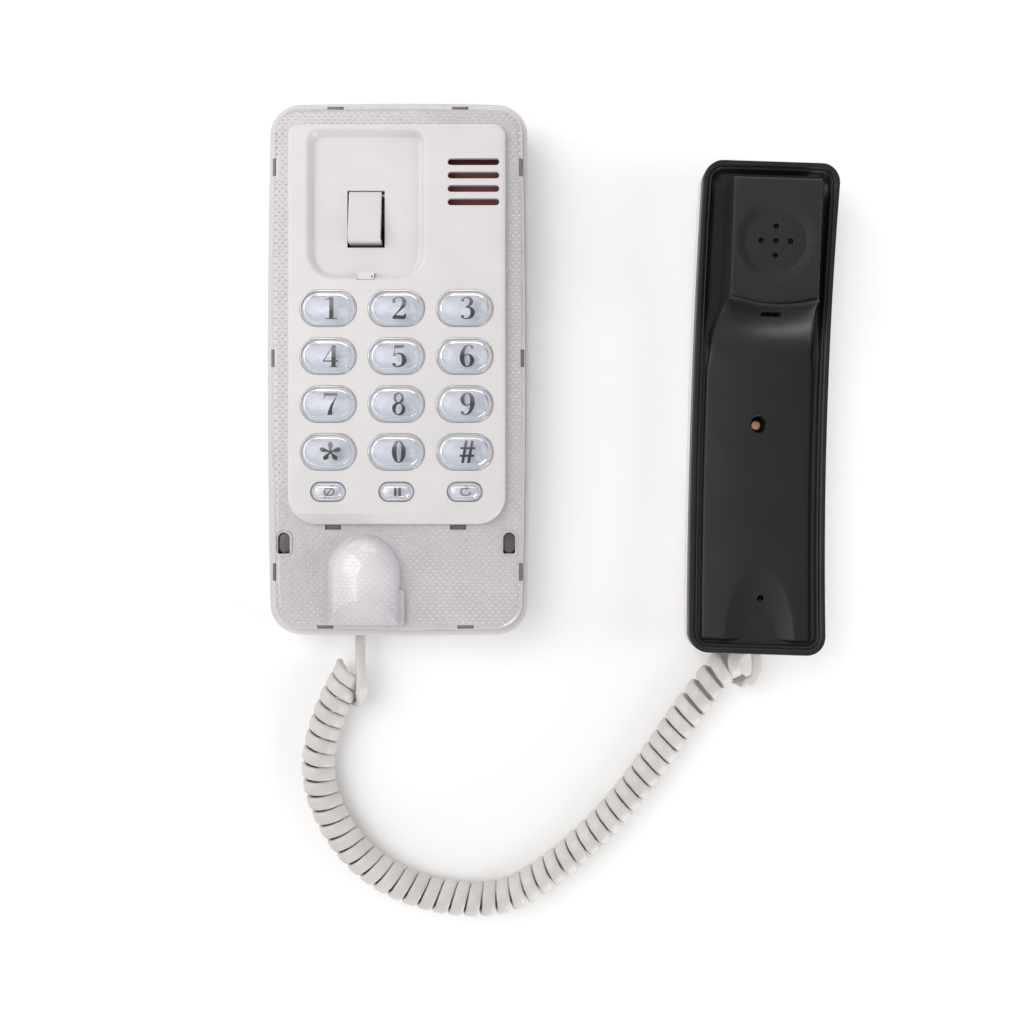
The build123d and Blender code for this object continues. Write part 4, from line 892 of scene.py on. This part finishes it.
def make_inner_shell():
    """Both skins of the inner half on one grid that follows the rim, walls, lip and scoop."""
    rows = levels(-HALF_LENGTH, ROW_RUNS)
    top = []
    base = []
    for v in rows:
        past = max(abs(v) - (HALF_LENGTH - CORNER), 0)
        outline = HALF_WIDTH - CORNER + sqrt(max(CORNER**2 - past**2, 0))
        face = half_width(v)
        gap = max(outline - RIM_WIDTH - (face + DRAFT), 0.02)
        half = [outline - d * min(outline / HALF_WIDTH, 1) for d in RIM_STEPS]
        half += [outline - RIM_WIDTH - gap * k / 3 for k in (1, 2)]
        start = min(half[-1] - 0.03 - DRAFT, face)
        half.append(start + DRAFT + 0.015)
        half += [start - w for w in WALL_STEPS]
        across = half + [half[-1] * (1 - k / FACE_STEPS) for k in range(1, FACE_STEPS)] + [0.0]
        full = across + [-u for u in reversed(across[:-1])]
        top_row = []
        base_row = []
        for u in full:
            z = shell_height(u, v)
            shifted = v + lip_shift(u, v)
            low = PARTING + arc(v)
            top_row.append((u, shifted, max(z, low + 0.4)))
            d = edge_distance(u, v)
            plain = shell_height(u, v, dish=False)
            base_row.append((u, shifted, low if d < RIM_FLAT else max(low, min(plain - WALL, z - 0.8))))
        top.append(top_row)
        base.append(base_row)
    count = len(top[0])
    points = [p for row in top for p in row] + [p for row in base for p in row]
    offset = len(top) * count
    faces = []
    for i in range(len(top) - 1):
        for j in range(count - 1):
            a, b = i * count + j, (i + 1) * count + j
            faces.append((a, b, b + 1, a + 1))
            faces.append((offset + a, offset + a + 1, offset + b + 1, offset + b))
    for i in range(len(top) - 1):
        for j, flip in ((0, True), (count - 1, False)):
            a, b = i * count + j, (i + 1) * count + j
            side = (a, b, offset + b, offset + a)
            faces.append(tuple(reversed(side)) if flip else side)
    for i, flip in ((0, False), (len(top) - 1, True)):
        for j in range(count - 1):
            a = i * count + j
            side = (a, a + 1, offset + a + 1, offset + a)
            faces.append(tuple(reversed(side)) if flip else side)
    return new_object("handset_face", [[c * MM for c in p] for p in points], faces, black_shell)


def cutter(name, outline, low, high):
    """Upright prism from a plan outline in handset millimetres, used to cut a hole."""
    rings = [[(u * MM, v * MM, z * MM) for u, v in outline] for z in (low, high)]
    return new_object(name, *skin_rings(rings), black_part, False)


def disc_outline(u, v, radius, count=40):
    angles = [2 * pi * k / count for k in range(count)]
    return [(u + radius * cos(angle), v + radius * sin(angle)) for angle in angles]


def box_outline(u, v, half_u, half_v):
    return [(u + i * half_u, v + j * half_v) for i, j in ((-1, -1), (1, -1), (1, 1), (-1, 1))]


def cut(target, tools):
    """Cuts the tools out of the target, then drops them."""
    for tool in tools:
        step = target.modifiers.new("cut", "BOOLEAN")
        step.operation = "DIFFERENCE"
        step.solver = "EXACT"
        step.object = tool
    bpy.context.view_layer.update()
    graph = bpy.context.evaluated_depsgraph_get()
    made = bpy.data.meshes.new_from_object(target.evaluated_get(graph))
    target.modifiers.clear()
    old = target.data
    target.data = made
    bpy.data.meshes.remove(old)
    for tool in tools:
        bpy.data.objects.remove(tool)
    for polygon in made.polygons:
        polygon.use_smooth = True
    return target


RECEIVER_HOLE = 1.1
RECEIVER_CROSS = 5.5
HANGER_SLOT = (0, 34.9, 3.8, 0.6)
WELL_RADIUS = 3.35
MIC_HOLE = 1.35
shell = make_inner_shell()
holes = [cutter("hole_0", disc_outline(0, EARPIECE_V, RECEIVER_HOLE), 28, 36)]
for k in range(4):
    u = RECEIVER_CROSS * cos(k * pi / 2)
    v = EARPIECE_V + RECEIVER_CROSS * sin(k * pi / 2)
    holes.append(cutter(f"hole_{k + 1}", disc_outline(u, v, RECEIVER_HOLE), 28, 36))
holes.append(cutter("hole_slot", box_outline(*HANGER_SLOT), 19, 36))
holes.append(cutter("hole_screw", disc_outline(0, SCREW_V, WELL_RADIUS, 56), 6, 18))
holes.append(cutter("hole_mic", disc_outline(SCOOP_U, MIC_V, MIC_HOLE), 10, 24))
cut(shell, holes)
shell.matrix_world = HANDSET_PLACE
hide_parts("handset_inner_shell")
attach(shell, "handset")


# ---- well of the handset screw ----
LATHE_STEPS = 48
WELL_PROFILE = [(WELL_RADIUS, 14.2), (WELL_RADIUS, 7.6), (2.3, 7.55), (2.3, 6.4), (4.3, 6.4), (4.3, 14.2)]


def lathe(name, profile, material):
    """Turned piece from (radius, height) points in millimetres."""
    rings = []
    for radius, height in profile:
        outline = disc_outline(0, 0, radius, LATHE_STEPS)
        rings.append([(x * MM, y * MM, height * MM) for x, y in outline])
    return new_object(name, *skin_rings(rings, closed=True), material)


well = lathe("screw_well", WELL_PROFILE, black_shell)
well.matrix_world = HANDSET_PLACE @ Matrix.Translation((0, SCREW_V * MM, 0))
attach(well, "handset")


def frame_ridge(name, outline, width, low, high, material):
    """Low wall that follows a closed plan outline, in millimetres."""
    middle = Vector((sum(p[0] for p in outline), sum(p[1] for p in outline))) / len(outline)
    shrunk = []
    for x, y in outline:
        way = Vector((x, y)) - middle
        shrunk.append(tuple(middle + way * (1 - width / way.length)))
    walls = ((outline, low), (outline, high), (shrunk, high), (shrunk, low))
    rings = [[(x * MM, y * MM, z * MM) for x, y in line] for line, z in walls]
    return new_object(name, *skin_rings(rings, closed=True), material)


SLOT_STEPS = 12


def slot_outline(x, y, half_x, half_y):
    """Upright round-ended slot."""
    points = []
    for side in (1, -1):
        for k in range(SLOT_STEPS + 1):
            angle = (0 if side > 0 else pi) + pi * k / SLOT_STEPS
            points.append((x + half_x * cos(angle), y + side * (half_y - half_x) + half_x * sin(angle)))
    return points


# ---- clear cover: studs of the prism pattern, snap catches and side pockets ----
COVER_TOP = 25.0
DOME_MIDDLE = (-12.6, -77.5, 23.2)
DOME_SIZE = (13.9, 15.0)
DOME_SLOPE_Y = -87.0
DOME_FOOT = -97.0
DOME_FOOT_TOP = 27.6
FOOT_BLOCK = (-27.2, 2.8, -97.0, -83.5)
# Half width, lower end and upper end of the face plate and of the cover's flat top.
PLATE_EDGE = (41.0, -58.7, 92.1)
COVER_EDGE = (46.5, -96.4, 98.2)
CORNER_MIDDLE = (37.9, -87.9, 89.6)
CORNER_RADIUS = 8.6
# Snap windows: middle, half width and half height.
WINDOWS = [
    (-23.6, 99.4, 3.1, 0.7), (23.8, 99.4, 3.1, 0.7), (-27.6, -98.0, 3.1, 0.7), (25.8, -98.0, 3.1, 0.7),
    (-24.5, -60.0, 3.05, 0.9), (23.0, -60.0, 3.05, 0.9),
]
SIDE_WINDOWS = ((46.9, 77), (47.5, 4.3), (46.9, -77))
WINDOWS += [(side * x, y, 0.75, 3.3) for side in (-1, 1) for x, y in SIDE_WINDOWS]
POCKETS = [(-43.2, -66.0), (42.4, -66.0)]
POCKET_ROOM = (3.9, 5.4)
WINDOW_GAP = (1.2, 1.0)
PLATE_GAP = 0.9
# Studs: spacing, rows and columns to either side, half size and height on the dome and on the flat top,
# and the half sizes of the bare oval round the dome.
STUD_PITCH = (2.5, 1.3)
STUD_ROWS = 76
STUD_COLUMNS = 20
DOME_STUD = (0.8, 0.12)
TOP_STUD = (0.85, 0.26)
DOME_ROOM = (14.8, 15.9)
STEEPEST = 1.6
SLOPE_STEP = 0.3
# Middle and reach of the painted light, a brighter ball of colour in the dome, in metres.
PAINTED_LIGHT_MIDDLE = (-0.0126, -0.077, 0.030)
PAINTED_LIGHT_REACH = (0.015, 0.0185, 0.018)


PRISM_TINTS = ((0.44, 0.415, 0.44), (0.53, 0.50, 0.53), (0.53, 0.50, 0.525))
# Pale colour painted into the dome as painted light.
DOME_PAINTED_LIGHT = (0.84, 0.82, 0.85, 1.0)


def cover_material(name, gain):
    """Clear plastic over a fine lilac-white prism sheet, with painted light that makes it brighter in the
    dome.
    """
    made = Shader(name, Roughness=0.2, Coat_Weight=1.0, Coat_Roughness=0.06, Specular_IOR_Level=0.6)
    cells = made.node("ShaderNodeTexVoronoi", Scale=620.0)
    made.link(made.coordinates, cells.inputs["Vector"])
    deep, pale, warm = ([c * gain for c in tint] for tint in PRISM_TINTS)
    sparkle = made.ramp(cells.outputs["Distance"], (0.1, pale), (0.75, deep))
    cloud = made.ramp(made.noise(90, 4), (0.3, deep), (0.75, warm))
    blend = made.node("ShaderNodeMix", data_type="RGBA", blend_type="MIX")
    blend.inputs[0].default_value = 0.5
    made.link(sparkle, blend.inputs[6])
    made.link(cloud, blend.inputs[7])
    shift = made.node("ShaderNodeMapping")
    shift.inputs["Location"].default_value = [-c / reach for c, reach in zip(PAINTED_LIGHT_MIDDLE, PAINTED_LIGHT_REACH)]
    shift.inputs["Scale"].default_value = [1 / reach for reach in PAINTED_LIGHT_REACH]
    made.link(made.coordinates, shift.inputs["Vector"])
    # Painted highlight: towards the middle of the ball the colour turns to the pale dome colour.
    light_ball = made.node("ShaderNodeTexGradient", gradient_type="SPHERICAL")
    made.link(shift.outputs["Vector"], light_ball.inputs["Vector"])
    dome_light_mix = made.node("ShaderNodeMix", data_type="RGBA", blend_type="MIX")
    made.link(made.remap(light_ball.outputs["Fac"], 0.0, 0.85), dome_light_mix.inputs[0])
    made.link(blend.outputs[2], dome_light_mix.inputs[6])
    dome_light_mix.inputs[7].default_value = DOME_PAINTED_LIGHT
    made.colour(dome_light_mix.outputs[2])
    made.rough(made.remap(made.noise(350, 3), 0.14, 0.3))
    made.bump(cells.outputs["Distance"], 0.25, 0.0002, made.bump(made.noise(140, 2), 0.1, 0.0004))
    return made.material


prism = cover_material("prism_plastic", 1.0)
# The studs' copy of the prism plastic is 16 per cent lighter: painted light on the points.
stud_prism_lit = cover_material("prism_studs", 1.16)
# Dark grey for the catches in the snap windows and the floors of the side pockets: painted shade in these
# recesses.
catch_painted_shade = moulded("catch_painted_shade", (0.17, 0.15, 0.16), (0.10, 0.09, 0.10), 0.35, coat=0.4)
pocket_painted_shade = moulded("pocket_painted_shade", (0.12, 0.12, 0.13), (0.05, 0.05, 0.055), 0.3, coat=0.5)


def covered(x, y):
    """True where the cover's flat top is bare at a point."""
    half, low, high = COVER_EDGE
    if abs(x) > half or not low < y < high:
        return False
    half, low, high = PLATE_EDGE
    if abs(x) < half + PLATE_GAP and low - PLATE_GAP < y < high + PLATE_GAP:
        return False
    for wx, wy, hx, hy in WINDOWS:
        if abs(x - wx) < hx + WINDOW_GAP[0] and abs(y - wy) < hy + WINDOW_GAP[1]:
            return False
    for px, py in POCKETS:
        if abs(x - px) < POCKET_ROOM[0] and abs(y - py) < POCKET_ROOM[1]:
            return False
    x0, x1, y0, y1 = FOOT_BLOCK
    if x0 - 1 < x < x1 + 1 and y0 - 1 < y < y1 + 1:
        return False
    side, foot, head = CORNER_MIDDLE
    return hypot(max(abs(x) - side, 0), max(foot - y, 0, y - head)) < CORNER_RADIUS


def dome_height(x, y):
    """Height of the dome at a point, or nothing beside it."""
    cx, cy, cz = DOME_MIDDLE
    rx, ry = DOME_SIZE
    share = 1 - ((x - cx) / rx) ** 2 - (max(y - cy, 0) / ry) ** 2
    if share <= 0.0 or y < DOME_FOOT:
        return None
    front = cz + rx - (cz + rx - DOME_FOOT_TOP) * max(DOME_SLOPE_Y - y, 0) / (DOME_SLOPE_Y - DOME_FOOT)
    return min(cz + rx * sqrt(share), front)


def stud(points, faces, x, y, z, size, height, lean=(0.0, 0.0)):
    """Low four-sided point; lean tips its foot to follow a slope."""
    start = len(points)
    for dx, dy in ((size, 0), (0, size * 0.62), (-size, 0), (0, -size * 0.62)):
        points.append(((x + dx) * MM, (y + dy) * MM, (z - 0.03 + lean[0] * dx + lean[1] * dy) * MM))
    points.append((x * MM, y * MM, (z + height) * MM))
    faces += [(start + k, start + (k + 1) % 4, start + 4) for k in range(4)]


def make_studs():
    """Staggered rows of small points over the cover's flat top and its dome."""
    points = []
    faces = []
    pitch_x, pitch_y = STUD_PITCH
    for j in range(-STUD_ROWS, STUD_ROWS + 1):
        for i in range(-STUD_COLUMNS, STUD_COLUMNS + 1):
            x = (i + 0.5 * (j % 2)) * pitch_x
            y = j * pitch_y
            z = dome_height(x, y)
            if z is not None and z > COVER_TOP + 0.5:
                slope_x = ((dome_height(x + SLOPE_STEP, y) or z) - z) / SLOPE_STEP
                slope_y = ((dome_height(x, y + SLOPE_STEP) or z) - z) / SLOPE_STEP
                if hypot(slope_x, slope_y) < STEEPEST and y > DOME_FOOT + 1.5:
                    stud(points, faces, x, y, z, *DOME_STUD, (slope_x, slope_y))
            elif z is None and covered(x, y):
                near_x = (x - DOME_MIDDLE[0]) / DOME_ROOM[0]
                near_y = max(y - DOME_MIDDLE[1], 0) / DOME_ROOM[1]
                if hypot(near_x, near_y) > 1.0:
                    stud(points, faces, x, y, COVER_TOP, *TOP_STUD)
    return new_object("prism_studs", points, faces, stud_prism_lit, False)


studs = make_studs()
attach(studs, "base")


def pillow(name, outline, low, high, edge, material):
    """Block with a softened top edge from a plan outline in millimetres."""
    middle = Vector((sum(p[0] for p in outline), sum(p[1] for p in outline))) / len(outline)
    rings = []
    steps = [(0, low), (0, high - edge), (edge * 0.3, high - edge * 0.3)]
    steps += [(edge, high), (edge * 2.2, high + 0.02)]
    for inset, z in steps:
        line = []
        for x, y in outline:
            way = Vector((x, y)) - middle
            line.append((*(middle + way * (1 - inset / way.length)) * MM, z * MM))
        rings.append(line)
    return new_object(name, *skin_rings(rings), material)


CATCH_GAP = 0.08
CATCH_RISE = (22.2, 24.3)
CUP_RISE = (22.2, 23.6)
CUP_HALF = (2.2, 3.95)
POCKET_RIM_HALF = (3.3, 5.2)
POCKET_RIM_RISE = (24.9, 25.25)
for number, (x, y, hx, hy) in enumerate(WINDOWS):
    outline = box_outline(x, y, hx - CATCH_GAP, hy - CATCH_GAP)
    catch = pillow(f"snap_catch_{number}", outline, *CATCH_RISE, 0.15, catch_painted_shade)
    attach(catch, "base")
for number, (x, y) in enumerate(POCKETS):
    cup = pillow(f"pocket_cup_{number}", slot_outline(x, y, *CUP_HALF), *CUP_RISE, 0.3, pocket_painted_shade)
    outline = slot_outline(x, y, *POCKET_RIM_HALF)
    ridge = frame_ridge(f"pocket_rim_{number}", outline, 0.5, *POCKET_RIM_RISE, prism)
    for piece in (cup, ridge):
        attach(piece, "base")

# ---- rim round the microphone's slot ----
MIC_RIM_HALF = (1.35, 3.2)
MIC_RIM_V = MIC_V - 3.6
MIC_RIM_Z = CROWN + arc(MIC_RIM_V) - scoop_drop(MIC_RIM_V)
MIC_RIM_LEAN = -0.065
mic_rim = frame_ridge("mic_slot_rim", slot_outline(0, 0, *MIC_RIM_HALF), 0.4, 0.0, 0.32, black_shell)
mic_rim.matrix_world = (
    HANDSET_PLACE
    @ Matrix.Translation((SCOOP_U * MM, MIC_RIM_V * MM, MIC_RIM_Z * MM))
    @ Matrix.Rotation(MIC_RIM_LEAN, 4, "X")
)
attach(mic_rim, "handset")

# ---- finishes of the CAD nodes shown as they are ----
plug_clear = clear_material("plug_clear", (0.93, 0.94, 0.94), 0.08)
CARRIED = (
    (white_plastic, "rear_floor rear_wall rear_posts face_plate hook_lever hanger_tab handset_outer_shell"),
    (prism, "clear_cover"),
    (rubber_grey, "keypad_membrane receiver_gasket mic_boot"),
    (board_green, "keypad_board line_board"),
    (black_part, "board_components hook_switch handset_jack line_jack handset_cord_jack"),
    (hole_painted_shade, "receiver_capsule mic_capsule"),
    (grey_film, "keypad_ribbon"),
    (steel, "board_screws case_screws hook_pin handset_weight"),
    (copper, "handset_screw"),
    (dark_red, "ringer_speaker"),
    (plug_clear, "plug_base_end plug_handset_end"),
)
for material, names in CARRIED:
    for node in names.split():
        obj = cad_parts[node]
        obj.data.materials.clear()
        obj.data.materials.append(material)

# ---- lever spring, in the place of its CAD node ----
SPRING_TURNS = 7.9
SPRING_WIRE = 0.00025
SPRING_STEPS = 20
WIRE_POINTS = 6


def make_spring():
    """Steel coil between its board and the lever, in the place of its CAD node."""
    low, high = (Vector(corner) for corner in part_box("hook_spring"))
    middle = (low + high) / 2
    radius = (high.x - low.x) / 2 - SPRING_WIRE
    count = round(SPRING_TURNS * SPRING_STEPS)
    rings = []
    for i in range(count + 1):
        turn = 2 * pi * i / SPRING_STEPS
        out = Vector((cos(turn), sin(turn), 0))
        rise = (high.z - low.z - 2 * SPRING_WIRE) * i / count
        place = Vector((middle.x, middle.y, low.z + SPRING_WIRE + rise)) + out * radius
        ring = []
        for j in range(WIRE_POINTS):
            angle = 2 * pi * j / WIRE_POINTS
            ring.append(place + (out * cos(angle) + Vector((0, 0, 1)) * sin(angle)) * SPRING_WIRE)
        rings.append(ring)
    spring = new_object("lever_spring_coil", *skin_rings(rings), steel)
    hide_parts("hook_spring")
    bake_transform(spring)


make_spring()

# ---- floor and light ----
def floor_material():
    """Matt white paper, faintly uneven."""
    made = Shader("paper_floor", Roughness=0.9, Specular_IOR_Level=0.1)
    made.colour(made.ramp(made.noise(3, 2), (0.3, (0.93, 0.93, 0.93)), (0.7, (0.95, 0.95, 0.95))))
    made.bump(made.noise(600, 3), 0.02, 0.0002)
    return made.material


FLOOR_LEVEL = -0.0003
FLOOR_HALF = 2.2


def make_floor():
    """Broad sheet with a gently raised far edge, just below the object."""
    rows = [(-1.6, FLOOR_LEVEL), (1.6, FLOOR_LEVEL), (2.0, 0.08), (2.3, 0.4), (2.4, 1.0)]
    points = [(x, y, z) for y, z in rows for x in (-FLOOR_HALF, FLOOR_HALF)]
    faces = [(2 * i, 2 * i + 1, 2 * i + 3, 2 * i + 2) for i in range(len(rows) - 1)]
    return new_object("paper", points, faces, floor_material())


floor = make_floor()


def area_light(name, place, aim, size, power, tint):
    """Rectangular lamp at a place, turned to its aim."""
    data = bpy.data.lights.new(name, "AREA")
    data.shape = "RECTANGLE"
    data.size, data.size_y = size
    data.energy = power
    data.color = tint
    lamp = bpy.data.objects.new(name, data)
    lamp.location = place
    lamp.rotation_mode = "QUATERNION"
    lamp.rotation_quaternion = (Vector(aim) - Vector(place)).to_track_quat("-Z", "Y")
    bpy.context.scene.collection.objects.link(lamp)
    return lamp


CENTRE = (0.05, -0.05, 0.02)
# The sky's strength goes from 0.93 to 0.42 between these two places from left to right.
SKY_FALL = (-0.35, 0.35, 0.93, 0.42)
lights = [
    area_light("key_light", (-0.6, 0.3, 0.85), CENTRE, (0.9, 1.1), 6.3, (1.0, 0.985, 0.97)),
    area_light("fill_light", (1.1, -0.15, 0.4), CENTRE, (0.4, 1.0), 5.0, (0.97, 0.98, 1.0)),
    area_light("front_light", (0.62, -0.85, 0.16), (0.14, 0.0, 0.02), (0.7, 0.26), 4.2, (1.0, 1.0, 1.0)),
    area_light("back_light", (0.15, 0.9, 0.25), CENTRE, (0.8, 0.3), 1.2, (1.0, 1.0, 1.0)),
]
world = bpy.data.worlds.new("studio")
bpy.context.scene.world = world
world.use_nodes = True
sky = world.node_tree
sky.nodes["Background"].inputs["Color"].default_value = (1.0, 0.995, 0.99, 1.0)
direction = sky.nodes.new("ShaderNodeTexCoord")
parts = sky.nodes.new("ShaderNodeSeparateXYZ")
shade = sky.nodes.new("ShaderNodeMapRange")
for socket, value in zip(("From Min", "From Max", "To Min", "To Max"), SKY_FALL):
    shade.inputs[socket].default_value = value
sky.links.new(direction.outputs["Generated"], parts.inputs[0])
sky.links.new(parts.outputs["X"], shade.inputs["Value"])
sky.links.new(shade.outputs["Result"], sky.nodes["Background"].inputs["Strength"])
# The fill light gives no highlight, because the photo has none on that side.
lights[1].visible_glossy = False
